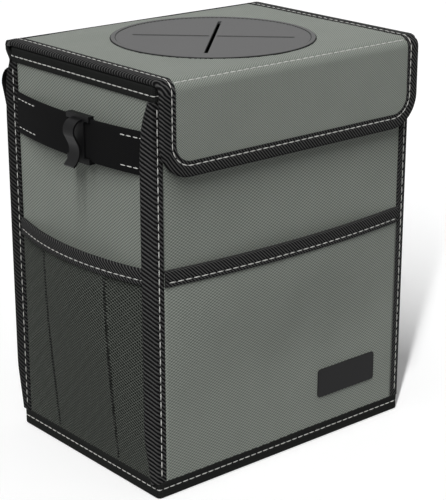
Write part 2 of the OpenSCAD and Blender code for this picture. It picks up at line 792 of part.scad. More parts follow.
module flap_panel() { color("#6c7169") flap_layer(fabric_at, fabric_at + fabric_t, true); }
module flap_board() { color("#d8d4c8") flap_layer(board_at, fabric_at, false); }
module flap_lining() { color("#3a3c3d") flap_layer(lining_at, board_at, true); }

// Half of the flap's tape: down one side, round the lower corner and to the middle of the foot
module flap_half_tape() {
    turn_z = flap_foot + flap_r;
    section = lid_tape_section();
    sweep_about_x(round_y, round_z, 0, crease_angle - mitre_gap)
        polygon([for (p = section) [crease_in_r + p[1], lid_half - p[0]]]);
    translate([0, 0, turn_z]) linear_extrude(round_z - turn_z)
        polygon([for (p = section) [p[0] - lid_half, flap_y - p[1]]]);
    translate([flap_r - lid_half, flap_y, turn_z]) rotate([90, 180, 0])
        rotate_extrude(angle = 90) polygon([for (p = section) [flap_r - p[0], p[1]]]);
    across(flap_r - lid_half, 0)
        polygon([for (p = section) [flap_y - p[1], flap_foot + p[0]]]);
}

module flap_tape() {
    color("#1f1f20") {
        flap_half_tape();
        mirror([1, 0, 0]) flap_half_tape();
    }
}

// Closure strips under the flap and on the front wall, one above the other's face

closure_z = flap_foot + lid_tape_w + closure_h / 2;

module closure_strip(y0) {
    translate([-closure_w / 2, y0, closure_z - closure_h / 2]) cube([closure_w, closure_t, closure_h]);
}

module closure_hook_strip() { color("#2e2f30") closure_strip(flap_y - lining_at); }
module closure_loop_strip() { color("#2e2f30") closure_strip(-half_d - closure_t); }

front_panel();
back_panel();
left_panel();
right_panel();
base_panel();
front_board();
back_board();
left_board();
right_board();
base_board();
liner();
front_left_tape();
front_right_tape();
back_left_tape();
back_right_tape();
base_tape();
rim_tape();
front_pocket();
front_pocket_tape();
left_mesh_pocket();
left_pocket_tape();
right_mesh_pocket();
right_pocket_tape();
bare_patch();
closure_loop_strip();
left_side_strap();
right_side_strap();
left_hanging_strap();
right_hanging_strap();
buckle_socket();
buckle_plug();
lid_panel();
lid_board();
lid_lining();
lid_tape();
slit_disc();
flap_panel();
flap_board();
flap_lining();
flap_tape();
closure_hook_strip();
left_bag_hook();
right_bag_hook();
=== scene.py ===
"""Looks of the car trash bin: woven fabric, ribbed tapes, stitches, mesh, webbing and rubber.

Lengths are in millimetres until a mesh is made, in the part's own frame: the front faces -Y and
the underside of the box lies at z = 0.
"""

import math

import bmesh
import bpy
import numpy as np
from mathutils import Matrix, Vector

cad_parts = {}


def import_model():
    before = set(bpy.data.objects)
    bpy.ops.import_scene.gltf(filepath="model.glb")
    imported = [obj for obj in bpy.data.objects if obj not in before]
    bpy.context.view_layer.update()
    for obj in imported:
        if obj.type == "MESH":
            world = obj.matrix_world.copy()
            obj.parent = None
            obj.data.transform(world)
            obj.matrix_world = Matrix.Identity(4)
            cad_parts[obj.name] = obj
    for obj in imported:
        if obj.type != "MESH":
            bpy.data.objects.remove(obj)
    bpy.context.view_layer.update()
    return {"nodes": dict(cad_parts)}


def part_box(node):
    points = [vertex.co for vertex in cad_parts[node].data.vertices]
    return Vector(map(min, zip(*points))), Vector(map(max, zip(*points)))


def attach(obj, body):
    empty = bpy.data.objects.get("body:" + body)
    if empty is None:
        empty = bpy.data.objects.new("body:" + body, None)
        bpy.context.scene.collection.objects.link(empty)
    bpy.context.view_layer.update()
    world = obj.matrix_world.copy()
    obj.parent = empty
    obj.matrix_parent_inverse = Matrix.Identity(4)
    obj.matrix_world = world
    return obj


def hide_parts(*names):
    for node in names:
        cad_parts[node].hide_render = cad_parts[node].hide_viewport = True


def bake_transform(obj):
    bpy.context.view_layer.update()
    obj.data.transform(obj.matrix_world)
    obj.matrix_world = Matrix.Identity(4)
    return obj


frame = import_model()

MM = 0.001
RNG = np.random.default_rng(7)


def span(node):
    """Lowest and highest corner of a node, in millimetres."""
    low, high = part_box(node)
    return np.array(low) / MM, np.array(high) / MM


# Sizes taken from the frame
HALF_W = span("front_panel")[1][0]
HALF_D = -span("front_panel")[0][1]
WALL_TOP = span("front_panel")[1][2]
BODY_H = span("rim_tape")[1][2]
RIM_FOOT = span("rim_tape")[0][2]
RIM_T = span("rim_tape")[1][0] - HALF_W
BASE_H = span("base_tape")[1][2]
BASE_T = span("base_tape")[1][0] - HALF_W
LID_HALF = span("lid_tape")[1][0]
LID_TOP = span("lid_tape")[1][2]
FABRIC_TOP = span("lid_panel")[1][2]
FABRIC_HALF = span("lid_panel")[1][0]
FLAP_FOOT = span("flap_tape")[0][2]
FLAP_OUT = -span("flap_tape")[0][1]
POCKET_TOP = span("front_pocket")[1][2]
POCKET_FOOT = span("front_pocket_tape")[0][2]
POCKET_HALF = span("front_pocket")[1][0]
SIDE_HALF = span("left_mesh_pocket")[1][1]
WEB_Z = (span("left_side_strap")[0][2] + span("left_side_strap")[1][2]) / 2
WEB_W = span("left_side_strap")[1][2] - span("left_side_strap")[0][2]
DISC_LOW, DISC_HIGH = span("slit_disc")
DISC_R = (DISC_HIGH[0] - DISC_LOW[0]) / 2
DISC_MID_Y = (DISC_HIGH[1] + DISC_LOW[1]) / 2
HANG_LOW, HANG_HIGH = span("left_hanging_strap")
HANG_X = (abs(HANG_LOW[0]) + abs(HANG_HIGH[0])) / 2
HANG_W = HANG_HIGH[0] - HANG_LOW[0]

# Sizes of edges, seams, bows and straps that a node's box doesn't give
FABRIC_T = 1.2
TAPE_IN = 5.2
TAPE_SKIN = 0.7
LID_T = 4.3
LID_ROLL_R = 1.9
LID_OVER = 4.0
FIN_T = 3.2
FIN_FOOT = 4.4
FIN_TOP = 2.6
FRONT_FIN = 8.2
FRONT_LEAN = 40.0
BACK_FIN = 9.6
FRONT_BOW = 7.0
FRONT_BOW_START = 60.0
SIDE_BOW = 9.0
PLEAT_X = 32.0
PLEAT_T = 1.5
CREASE_R = 8.0
CREASE_SEWN = 49.0
FLAP_CORNER = 22.0
LID_TAPE_W = 10.2
COVER_IN = 2.5
STITCH_IN = 7.5
DISC_HOLE_R = 59.0
SLIT_LEN = 104.0
WEB_BOW = 7.1
WEB_T = 1.4
STRAP_T = 1.3

# The lid's layers count outwards from the inner face of its tape
LID_FACE = LID_TOP - LID_T
INNER_R = CREASE_R - LID_T
ROUND_Y = -FLAP_OUT + CREASE_R
ROUND_Z = LID_FACE - INNER_R
BACK_Y = span("lid_tape")[1][1] - LID_T


def unit(v):
    """Vectors along the last axis, made one long."""
    return v / np.linalg.norm(v, axis=-1, keepdims=True)


def heading(degrees):
    """Direction in a plane, at an angle from its first axis."""
    return np.array([math.cos(math.radians(degrees)), math.sin(math.radians(degrees))])


def arc(cx, cy, r, start, end, n):
    """Points of an arc about (cx, cy), angles in degrees."""
    a = np.radians(np.linspace(start, end, n))
    return np.stack([cx + r * np.cos(a), cy + r * np.sin(a)], -1)


def ease(x):
    """0 to 1 with a soft start and end, as x goes from 0 to 1."""
    x = np.clip(x, 0, 1)
    return x * x * (3 - 2 * x)


def ripple(a, b, size, amount, seed):
    """Smooth unevenness over a surface with coordinates a and b: a few waves of about size long,
    in all directions."""
    r = np.random.default_rng(int(seed))
    total = np.zeros(np.broadcast(a, b).shape)
    for wave in range(7):
        turn, phase = r.uniform(0, math.tau, 2)
        k = math.tau / (size * r.uniform(0.7, 1.6))
        total = total + np.sin(k * (a * math.cos(turn) + b * math.sin(turn)) + phase)
    return amount * total / 3


def section_length(section):
    """Way along a line from its first point to each point."""
    step = np.linalg.norm(np.diff(section, axis=0), axis=1)
    return np.concatenate([[0], np.cumsum(step)])


def padded_line(start, end, n, bulge=0.0):
    """Points from start to end, bowed to the left of the way by bulge."""
    t = np.linspace(0, 1, n)[:, None]
    start, end = np.array(start, float), np.array(end, float)
    way = unit(end - start)
    return start + (end - start) * t + bulge * np.sin(math.pi * t) * np.array([-way[1], way[0]])


def grid(*parts):
    """Points or weave map from the arrays and numbers of each coordinate."""
    return np.stack(np.broadcast_arrays(*parts), -1)


# Materials

class Graph:
    """A material with short calls for its nodes."""

    def __init__(self, name, rough, specular):
        self.material = bpy.data.materials.new(name)
        self.material.use_nodes = True
        self.tree = self.material.node_tree
        self.shader = self.tree.nodes["Principled BSDF"]
        self.shader.inputs["Roughness"].default_value = rough
        self.shader.inputs["Specular IOR Level"].default_value = specular

    def node(self, kind, **values):
        """A new node with its settings."""
        made = self.tree.nodes.new(kind)
        for key, value in values.items():
            setattr(made, key, value)
        return made

    def link(self, value, socket):
        """Sets a socket to a number or colour, or joins another socket to it."""
        if isinstance(value, bpy.types.NodeSocket):
            self.tree.links.new(value, socket)
        else:
            socket.default_value = value

    def calc(self, operation, *values):
        """Output of a Math node."""
        made = self.node("ShaderNodeMath", operation=operation)
        for value, socket in zip(values, made.inputs):
            self.link(value, socket)
        return made.outputs[0]

    def times(self, first, second):
        return self.calc("MULTIPLY", first, second)

    def scaled(self, value, gain, base):
        """value times gain, plus base."""
        return self.calc("MULTIPLY_ADD", value, gain, base)

    def uv(self):
        """The two coordinates of the weave map."""
        made = self.node("ShaderNodeUVMap", uv_map="weave")
        parts = self.node("ShaderNodeSeparateXYZ")
        self.link(made.outputs[0], parts.inputs[0])
        return parts.outputs[0], parts.outputs[1]

    def place(self):
        """Object coordinates in metres, for nodes that have no weave map."""
        return self.node("ShaderNodeTexCoord").outputs["Object"]

    def noise(self, scale, detail):
        made = self.node("ShaderNodeTexNoise")
        made.inputs["Scale"].default_value = scale
        made.inputs["Detail"].default_value = detail
        self.link(self.place(), made.inputs["Vector"])
        return made.outputs["Fac"]

    def wave(self, value, pitch):
        """0 to 1 to 0 along value, once a pitch."""
        turned = self.calc("SINE", self.times(value, math.tau / pitch))
        return self.scaled(turned, 0.5, 0.5)

    def blend(self, factor, first, second):
        """Colour between two colours."""
        made = self.node("ShaderNodeMix", data_type="RGBA")
        self.link(factor, made.inputs["Factor"])
        self.link((*first, 1), made.inputs["A"])
        self.link((*second, 1), made.inputs["B"])
        return made.outputs["Result"]

    def colour(self, value):
        self.link(value, self.shader.inputs["Base Color"])

    def bump(self, height, depth):
        """Bump of a height map that is depth millimetres from low to high."""
        made = self.node("ShaderNodeBump")
        made.inputs["Distance"].default_value = depth * MM
        made.inputs["Strength"].default_value = 1.0
        self.link(height, made.inputs["Height"])
        self.link(made.outputs[0], self.shader.inputs["Normal"])
        return self


def oxford(name, dark, light):
    """Basket weave: threads pass over and under each other in a chequer, and the rising diagonal
    stands out a little. The weave map counts threads."""
    g = Graph(name, 0.7, 0.28)
    u, v = g.uv()
    across = g.calc("SINE", g.times(u, math.pi))
    along = g.calc("SINE", g.times(v, math.pi))
    chequer = g.scaled(g.times(across, along), 0.34, 0.5)
    rising = g.calc("COSINE", g.times(g.calc("SUBTRACT", u, v), math.pi))
    weave = g.scaled(rising, 0.12, chequer)
    cloud = g.noise(38.0, 4.0)
    fibre = g.noise(2600.0, 2.0)
    tone = g.scaled(g.calc("ADD", cloud, fibre), 0.10, g.times(weave, 0.90))
    g.colour(g.blend(tone, dark, light))
    return g.bump(g.scaled(fibre, 0.2, weave), 0.10).material


def ribbed(name, dark, light):
    """Tape with raised ribs, light on their crests and dark between them as painted highlight and shade;
    the weave map's first coordinate counts them, and its second runs along them in millimetres."""
    g = Graph(name, 0.75, 0.03)
    u, v = g.uv()
    # Colour follows each rib: light on its crest and dark in its groove, as painted highlight and shade
    rib = g.calc("POWER", g.wave(u, 1.0), 2.4)
    thread = g.wave(v, 0.55)
    fibre = g.noise(1500.0, 2.0)
    tone = g.times(rib, g.scaled(g.calc("ADD", thread, fibre), 0.2, 0.65))
    g.colour(g.blend(tone, dark, light))
    return g.bump(g.scaled(thread, 0.15, rib), 0.16).material


def fine_weave(name, dark, light, pitch, depth, rough=0.8):
    """Close weave of webbing, hem tape, base cloth and thread."""
    g = Graph(name, rough, 0.03)
    u, v = g.uv()
    ribs = g.wave(u, pitch)
    slant = g.wave(g.scaled(u, 0.7, v), pitch * 1.3)
    fibre = g.noise(1400.0, 3.0)
    tone = g.scaled(g.times(ribs, slant), 0.6, g.times(fibre, 0.4))
    g.colour(g.blend(tone, dark, light))
    return g.bump(tone, depth).material


def netting(name, dark, light):
    """Fine mesh: two sets of slanting threads, each of finer strands, painted light along their middles
    and dark at their edges as painted highlight and shade. The weave map counts the threads of each set."""
    g = Graph(name, 0.8, 0.04)
    u, v = g.uv()
    # Threads light along their middles and dark at their edges: painted highlight and shade of their
    # round section
    painted_ridge_light = g.calc("MAXIMUM", g.times(g.wave(u, 1.0), 0.72), g.wave(v, 1.0))
    strands = g.scaled(g.wave(g.scaled(u, 1.37, g.times(v, -0.08)), 1.0), 0.75, 0.45)
    tone = g.times(g.calc("POWER", painted_ridge_light, 2.4), strands)
    g.colour(g.blend(tone, dark, light))
    return g.bump(tone, 0.12).material


def grained(name, dark, light, rough, scale, depth=0.05, specular=0.4):
    """Moulded or filmed surface with a fine grain."""
    g = Graph(name, rough, specular)
    grain = g.noise(scale, 4.0)
    cloud = g.noise(22.0, 2.0)
    tone = g.scaled(grain, 0.5, g.times(cloud, 0.5))
    g.colour(g.blend(tone, dark, light))
    return g.bump(grain, depth).material


def fleece(name, dark, light):
    """Short loops of the closure strips."""
    g = Graph(name, 0.95, 0.1)
    loops = g.node("ShaderNodeTexVoronoi")
    loops.inputs["Scale"].default_value = 1100.0
    g.link(g.place(), loops.inputs["Vector"])
    g.colour(g.blend(loops.outputs["Distance"], light, dark))
    g.shader.inputs["Sheen Weight"].default_value = 0.3
    return g.bump(loops.outputs["Distance"], 0.4).material


# Colours are from the dark to the light parts of each surface
GREY = oxford("grey_oxford", (0.042, 0.055, 0.043), (0.338, 0.358, 0.325))
RIBS = ribbed("ribbed_tape", (0.004, 0.004, 0.0042), (0.100, 0.100, 0.099))
# A darker copy of the ribbed tape for the back corner seams: painted shade, as less light reaches them
SHADED_RIBS = ribbed("shaded_ribbed_tape", (0.002, 0.002, 0.0021), (0.060, 0.060, 0.0595))
HEM = fine_weave("smooth_tape", (0.009, 0.0095, 0.009), (0.026, 0.027, 0.026), 0.9, 0.05)
WEBBING = fine_weave("webbing", (0.005, 0.005, 0.0052), (0.013, 0.013, 0.0132), 1.0, 0.06)
MESH = netting("mesh_thread", (0.006, 0.008, 0.006), (0.148, 0.157, 0.142))
UNDER = fine_weave("base_cloth", (0.010, 0.010, 0.011), (0.030, 0.030, 0.031), 1.1, 0.08)
THREAD = fine_weave("thread", (0.50, 0.50, 0.48), (0.76, 0.76, 0.73), 0.45, 0.05, 0.7)
# Dark thread for the disc's stitches, and for the pleat loops, where its darkness paints the shadow
# along each fold
DARK_THREAD_AND_FOLD_SHADOW = fine_weave("dark_thread_and_fold_shadow", (0.005,) * 3, (0.018,) * 3, 0.45, 0.05, 0.7)
BOARD = grained("board", (0.50, 0.48, 0.43), (0.62, 0.60, 0.55), 0.8, 400.0)
FILM = grained("liner_film", (0.022, 0.023, 0.024), (0.045, 0.047, 0.048), 0.42, 260.0, 0.12, 0.5)
DISC = grained("disc_rubber", (0.106,) * 3, (0.121,) * 3, 0.65, 1600.0, 0.03, 0.15)
RUBBER = grained("patch_rubber", (0.009, 0.009, 0.0095), (0.016, 0.016, 0.0165), 0.6, 1300.0, 0.04, 0.15)
PLASTIC = grained("hook_plastic", (0.004, 0.004, 0.0043), (0.008, 0.008, 0.0084), 0.4, 1900.0, 0.03, 0.1)
# Dark rubber for the disc's pressed edge and its slit: painted shadow along the edge and painted shade
# in the slit
RUBBER_SHADE = grained("rubber_shade", (0.008, 0.008, 0.0083), (0.016, 0.016, 0.0165), 0.6, 1300.0, 0.02,
                      0.05)
LOOPS = fleece("closure", (0.006,) * 3, (0.035, 0.035, 0.036))


# Mesh making

def build(name, rows, uv, material, closed=False, ends=False, thick=0.0, outward=None,
          hole=None):
    """Mesh over a grid of points. closed joins the last column to the first, ends closes the first
    and last rows, thick makes a sheet solid towards its inner face, outward says which way the
    sheet faces, and hole (x, y, radius, lowest z) leaves out a round opening."""
    rows, uv = np.asarray(rows, float), np.asarray(uv, float)
    count, width = rows.shape[:2]
    index = np.arange(count * width).reshape(count, width)
    marks = np.arange(uv.shape[0] * uv.shape[1]).reshape(uv.shape[:2])
    if closed:
        index = np.hstack([index, index[:, :1]])
    quads, uv_of = (np.stack([n[:-1, :-1], n[:-1, 1:], n[1:, 1:], n[1:, :-1]], -1).reshape(-1, 4)
                    for n in (index, marks))
    if outward is not None:
        p = rows.reshape(-1, 3)[quads]
        facing = np.cross(p[:, 2] - p[:, 0], p[:, 3] - p[:, 1]).sum(0) @ np.array(outward)
        if facing < 0:
            quads, uv_of = quads[:, ::-1], uv_of[:, ::-1]
    if hole:
        middle = rows.reshape(-1, 3)[quads].mean(1)
        clear = np.hypot(middle[:, 0] - hole[0], middle[:, 1] - hole[1]) > hole[2]
        quads, uv_of = (part[clear | (middle[:, 2] < hole[3])] for part in (quads, uv_of))
    faces, loops = quads.tolist(), uv_of.reshape(-1).tolist()
    if ends:
        faces += [index[0, :width].tolist()[::-1], index[-1, :width].tolist()]
        loops += marks[0, :width].tolist()[::-1] + marks[-1, :width].tolist()
    mesh = bpy.data.meshes.new(name)
    mesh.from_pydata((rows.reshape(-1, 3) * MM).tolist(), [], faces)
    layer = mesh.uv_layers.new(name="weave")
    layer.data.foreach_set("uv", uv.reshape(-1, 2)[loops].astype(np.float32).ravel())
    return finish_mesh(mesh, name, material, thick, closed and ends)


def thread_mesh(name, verts, faces, weave):
    """Mesh of loose threads; weave turns the points of the faces' corners into the weave map."""
    verts = np.array(verts)
    mesh = bpy.data.meshes.new(name)
    mesh.from_pydata((verts * MM).tolist(), [], faces)
    layer = mesh.uv_layers.new(name="weave")
    spots = verts[[corner.vertex_index for corner in mesh.loops]]
    layer.data.foreach_set("uv", weave(spots).astype(np.float32).ravel())
    return mesh


def new_object(name, data):
    obj = bpy.data.objects.new(name, data)
    bpy.context.scene.collection.objects.link(obj)
    return obj


def finish_mesh(mesh, name, material, thick=0.0, recalculate=False, sharp=45):
    """Object from a mesh, with its close points merged, smooth faces and sharp edges kept."""
    made = bmesh.new()
    made.from_mesh(mesh)
    bmesh.ops.remove_doubles(made, verts=made.verts, dist=0.004 * MM)
    if recalculate:
        bmesh.ops.recalc_face_normals(made, faces=made.faces)
    made.to_mesh(mesh)
    made.free()
    mesh.shade_smooth()
    mesh.set_sharp_from_angle(angle=math.radians(sharp))
    mesh.materials.append(material)
    obj = new_object(name, mesh)
    if thick:
        solid = obj.modifiers.new("thickness", "SOLIDIFY")
        solid.thickness = thick * MM
        solid.offset = -1
    return obj


def join(name, objects):
    """One object from several with the same material."""
    with bpy.context.temp_override(active_object=objects[0], selected_editable_objects=objects,
                                   selected_objects=objects):
        bpy.ops.object.join()
    objects[0].name = name
    return objects[0]


# Walls

def pucker(distance, along, seed):
    """Small gathers beside a seam, which die away from it."""
    return 0.16 * np.exp(-np.abs(distance) / 5.0) * np.sin(math.tau * along / 8.0 + seed)


# Width and height of a thread on each side of the box
FRONT_THREADS = (1.57, 1.02)
SIDE_THREADS = (1.30, 0.99)
LID_THREADS = (0.99, 0.76)


def threads(a, b, sizes):
    """Weave map that counts the threads along a and b."""
    return grid(a / sizes[0], b / sizes[1])


def wall(name, node, half, place, outward, sizes, turn=1):
    """Fabric over a board, a little crowned. turn is -1 where the weave runs the other way."""
    a, z = np.meshgrid(np.linspace(-half, half, 76), np.linspace(0, WALL_TOP, 90))
    crown = 0.45 * (1 - (a / half) ** 2) * np.sin(math.pi * np.clip(z / WALL_TOP, 0, 1))
    out = crown + ripple(a, z, 60, 0.10, half) + pucker(half - np.abs(a), z, 0.7)
    out = np.maximum(out, 0.0) * ease((half - np.abs(a)) / 3.0)
    obj = build(name, place(a, z, out), threads(turn * a, z, sizes), GREY,
                thick=FABRIC_T * 0.9, outward=outward)
    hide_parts(node)
    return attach(obj, "bin")


# Points at a across a wall, at height z and out from it

def at_front(a, z, out):
    return grid(a, -HALF_D - out, z)


def at_back(a, z, out):
    return grid(a, HALF_D + out, z)


def at_left(a, z, out):
    return grid(-HALF_W - out, a, z)


def at_right(a, z, out):
    return grid(HALF_W + out, a, z)


wall("front_wall", "front_panel", HALF_W, at_front, (0, -1, 0), FRONT_THREADS)
wall("back_wall", "back_panel", HALF_W, at_back, (0, 1, 0), FRONT_THREADS, -1)
wall("left_wall", "left_panel", HALF_D, at_left, (-1, 0, 0), SIDE_THREADS, -1)
wall("right_wall", "right_panel", HALF_D, at_right, (1, 0, 0), SIDE_THREADS)


# Corner seams

# Spacing of the ribs up a corner seam, and how far they climb per millimetre over its strip and fin
SEAM_RIB = 2.8
FRONT_SLANTS = (0.95, 0.73)
BACK_SLANTS = (0.32, 0.32)
SEAM_STEP = 0.8


def fin_length(z, full):
    """Length of a corner seam: narrow under the rim tape and where it meets the base tape."""
    marks = [BASE_H, BASE_H + 30, RIM_FOOT - 34, RIM_FOOT - 20, RIM_FOOT - 13, RIM_FOOT - 7, RIM_FOOT]
    lengths = [FIN_FOOT, full, full, full - 0.9, full - 1.6, full - 3.0, FIN_TOP]
    fine = np.linspace(BASE_H - 12, RIM_FOOT + 12, 400)
    shape = np.interp(fine, marks, lengths)
    soft = np.convolve(np.pad(shape, 8, mode="edge"), np.ones(17) / 17, mode="valid")
    return np.interp(z, fine, np.minimum(soft, full))


def front_seam_section(length):
    """Left front seam in (x, y), from the strip on the front round to the back of the fold."""
    r = FIN_T / 2
    strip = TAPE_IN - HALF_W
    root = np.array([-HALF_W - FIN_T / 4, -HALF_D - RIM_T + r])
    way = heading(90 + FRONT_LEAN)
    out = np.array([-way[1], way[0]])
    tip = root + way * (length - r)
    face = root[1] - r
    lean = 180 + FRONT_LEAN
    return np.concatenate([
        [[strip, face + 1.2]], arc(strip - 0.5, face + 0.5, 0.5, 0, -90, 4),
        padded_line([strip - 1.0, face], [root[0] + 0.9, face], 5, -0.12),
        arc(root[0], root[1] + 0.12, r, -90, lean - 360, 6),
        padded_line(root + out * r, tip + out * r, 9, -0.25)[1:-1],
        arc(tip[0], tip[1], r, lean, lean - 180, 9),
        padded_line(tip - out * r, root - out * r + way * 0.6, 6)[1:]])


def back_seam_section(length):
    """Left back seam in (x, y), from the strip on the side round to the inside of the fold."""
    r = FIN_T / 2
    face = -HALF_W - RIM_T
    tip_y = HALF_D + length - r
    return np.concatenate([
        [[face + 1.2, HALF_D - TAPE_IN]],
        arc(face + 0.5, HALF_D - TAPE_IN + 0.5, 0.5, -90, -180, 4),
        padded_line([face, HALF_D - TAPE_IN + 1.0], [face, HALF_D - 0.4], 5, 0.1),
        padded_line([face, HALF_D + 0.2], [face, tip_y], 8, 0.2)[1:-1],
        arc(face + r, tip_y, r, 180, 0, 9),
        padded_line([face + FIN_T, tip_y], [face + FIN_T, HALF_D], 5)[1:]])


def corner_seam(name, node, section_of, full, mirror, slants, material):
    """Tape up a corner: a strip on the wall and a fold that stands off it."""
    heights = np.arange(BASE_H - 0.6, RIM_FOOT + 0.6, SEAM_STEP)
    rows, uv = [], []
    for z in heights:
        section = section_of(fin_length(z, full))
        run = section_length(section)
        run = np.append(run, run[-1] + 1)
        slant = slants[0] * np.minimum(run, TAPE_IN) + slants[1] * np.maximum(run - TAPE_IN, 0)
        rows.append(grid(section[:, 0] * mirror, section[:, 1], z))
        uv.append(grid((z - slant) / SEAM_RIB, run + 0.5 * z))
    obj = build(name, rows, uv, material, closed=True, ends=True)
    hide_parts(node)
    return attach(obj, "bin")


# The back seams take the darker copy of the ribbed tape, which paints the shade that falls on them
for side, mirror in (("left", 1), ("right", -1)):
    for end, section_of, full, slants, material in (
            ("front", front_seam_section, FRONT_FIN, FRONT_SLANTS, RIBS),
            ("back", back_seam_section, BACK_FIN, BACK_SLANTS, SHADED_RIBS)):
        corner_seam(f"{side}_{end}_seam", f"{end}_{side}_tape", section_of, full, mirror, slants,
                    material)


# Base and rim tapes

def stitch_groove(distance, depth):
    """How far a row of stitches pulls a tape in beside it."""
    return depth * np.exp(-(distance / 0.9) ** 2)


def ring(half_x, half_y, r, z):
    """Points round a rectangle with rounded corners, always as many."""
    r = max(r, 0.3)
    x, y = half_x - r, half_y - r
    middles = [(x, -y), (x, y), (-x, y), (-x, -y)]
    parts = []
    for i, middle in enumerate(middles):
        parts.append(arc(*middle, r, 90 * i - 90, 90 * i, 8))
        following = arc(*middles[(i + 1) % 4], r, 90 * i, 90 * i + 1, 2)[0]
        parts.append(padded_line(parts[-1][-1], following, 64 if i % 2 else 46)[1:-1])
    flat = np.concatenate(parts)
    return np.column_stack([flat, np.full(len(flat), z)])


def off_box(points, share):
    """Directions in (x, y) away from the sides of the box that the points lie at."""
    return np.where(np.abs(points / [HALF_W, HALF_D]) > share, np.sign(points), 0)


def band(name, node, section, corner_r, stitch_z):
    """Tape round the box from a section in (distance out of the wall, height), pulled in at its
    stitches."""
    rows = np.array([ring(HALF_W + o, HALF_D + o, corner_r + o, z) for o, z in section])
    run = section_length(np.vstack([rows[0][:, :2], rows[0][:1, :2]]))
    groove = stitch_groove(rows[..., 2] - stitch_z, 0.35)
    out = unit(off_box(rows[..., :2], 0.96) + 1e-9)
    outer = (np.array([o for o, z in section]) > 0.8)[:, None, None]
    rows[..., :2] -= np.where(outer, groove[..., None] * out, 0)
    uv = grid(run, section_length(section)[:, None])
    obj = build(name, rows, uv, HEM, closed=True)
    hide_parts(node)
    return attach(obj, "bin")


base_section = np.concatenate([
    [[0, BASE_H]], arc(BASE_T - 0.8, BASE_H - 0.8, 0.8, 90, 0, 4),
    padded_line([BASE_T, BASE_H - 1.6], [BASE_T, 1.6], 14, 0.0),
    arc(BASE_T - 0.8, 0.8, 0.8, 0, -90, 4), [[0, 0], [0, 2], [0, BASE_H - 2], [0, BASE_H]]])
BASE_STITCH_Z = 6.0
band("base_band", "base_tape", base_section, BASE_T * 0.7, BASE_STITCH_Z)

RIM_STITCH_Z = RIM_FOOT + 3.7
IN_WALL = 4.4
rim_section = np.concatenate([
    [[0, RIM_FOOT], [0.7, RIM_FOOT]], arc(RIM_T - 0.4, RIM_FOOT + 0.4, 0.4, -60, 0, 3),
    padded_line([RIM_T, RIM_FOOT + 1], [RIM_T, BODY_H - 1.2], 12),
    arc(RIM_T - 1.0, BODY_H - 1.0, 1.0, 0, 90, 5)[1:],
    padded_line([0, BODY_H], [-IN_WALL, BODY_H], 4),
    arc(-IN_WALL - RIM_T + 1.0, BODY_H - 1.0, 1.0, 90, 180, 4),
    [[-IN_WALL - RIM_T, RIM_FOOT], [-IN_WALL, RIM_FOOT], [-IN_WALL, WALL_TOP], [0, WALL_TOP],
     [0, RIM_FOOT]]])
band("rim_band", "rim_tape", rim_section, 1.8, RIM_STITCH_Z)


# Pockets

# Width and height of a hole of the mesh, and the width and thickness of its threads
MESH_X = 3.48
MESH_Z = 2.35
MESH_WIDE = 1.53
MESH_HIGH = 0.30

# Height of the stitches over the foot of a pocket's edge tape
FRONT_STITCH_UP = 2.75
SIDE_STITCH_UP = 3.4


def front_bow(x, z):
    """How far the front pocket stands out at x and z."""
    rise = (z - FRONT_BOW_START) / (POCKET_FOOT - FRONT_BOW_START)
    return FRONT_BOW * np.clip(1 - (x / POCKET_HALF) ** 2, 0, 1) * ease(rise)


def pleat(x):
    """Extra depth between a mesh pocket's two pleats."""
    return PLEAT_T * ease((PLEAT_X + 0.9 - np.abs(x)) / 1.1)


def side_bow(x, z):
    """How far a mesh pocket stands out at x and z."""
    rise = np.clip((z - BASE_H) / (POCKET_FOOT - BASE_H), 0, 1)
    return np.sin(math.pi / 2 * rise) * (SIDE_BOW * np.clip(1 - (x / SIDE_HALF) ** 2, 0, 1) + pleat(x))


def tape_bow(x):
    """Bow of the side pocket's edge tape, which spans the steps of the pleats."""
    return (SIDE_BOW + PLEAT_T) * np.clip(1 - (x / SIDE_HALF) ** 2, 0, 1)


def front_pocket():
    """Fabric pocket that bows out towards its top edge."""
    x, z = np.meshgrid(np.linspace(-POCKET_HALF, POCKET_HALF, 90),
                       np.linspace(BASE_H - 2, POCKET_TOP, 64))
    edge = ease((POCKET_HALF - np.abs(x)) / 12)
    out = front_bow(x, z) + 1.0 + edge * (ripple(x, z, 70, 0.22, 5) + 0.25)
    out += pucker(z - POCKET_FOOT, x, 0.3) * edge + pucker(z - BASE_H, x, 1.1) * edge
    obj = build("front_pocket_sheet", at_front(x, z, out), threads(x, z, FRONT_THREADS), GREY,
                thick=0.9, outward=(0, -1, 0))
    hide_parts("front_pocket")
    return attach(obj, "bin")


def pocket_tape(name, node, half, bow, place, stitch_up, thick, rib, slant):
    """Tape folded over a pocket's top edge, with its stitch line pulled in."""
    outer, inner = thick + 1.2, 1.2
    top = POCKET_TOP + 1.2
    section = np.concatenate([
        [[thick, POCKET_FOOT]], arc(outer - 0.4, POCKET_FOOT + 0.4, 0.4, -90, 0, 3),
        padded_line([outer, POCKET_FOOT + 0.9], [outer, top - 1.4], 14, -0.15),
        arc(outer - 1.1, top - 1.1, 1.1, 0, 90, 5), arc(1.1 - inner, top - 1.1, 1.1, 90, 180, 5),
        [[-inner, POCKET_FOOT], [0, POCKET_FOOT], [0, POCKET_TOP - 0.3], [thick, POCKET_TOP - 0.3]]])
    x = np.linspace(-half, half, 150)[:, None]
    groove = stitch_groove(section[:, 1] - POCKET_FOOT - stitch_up, 0.4) * (section[:, 0] > thick)
    rows = place(x, section[:, 1], np.maximum(bow(x) + section[:, 0] - groove, 0.02))
    run = np.append(section_length(section), 40)
    uv = grid((run + slant * x) / rib, run * 0.6 - x * 0.6)
    obj = build(name, rows, uv, RIBS, closed=True, ends=True)
    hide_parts(node)
    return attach(obj, "bin")


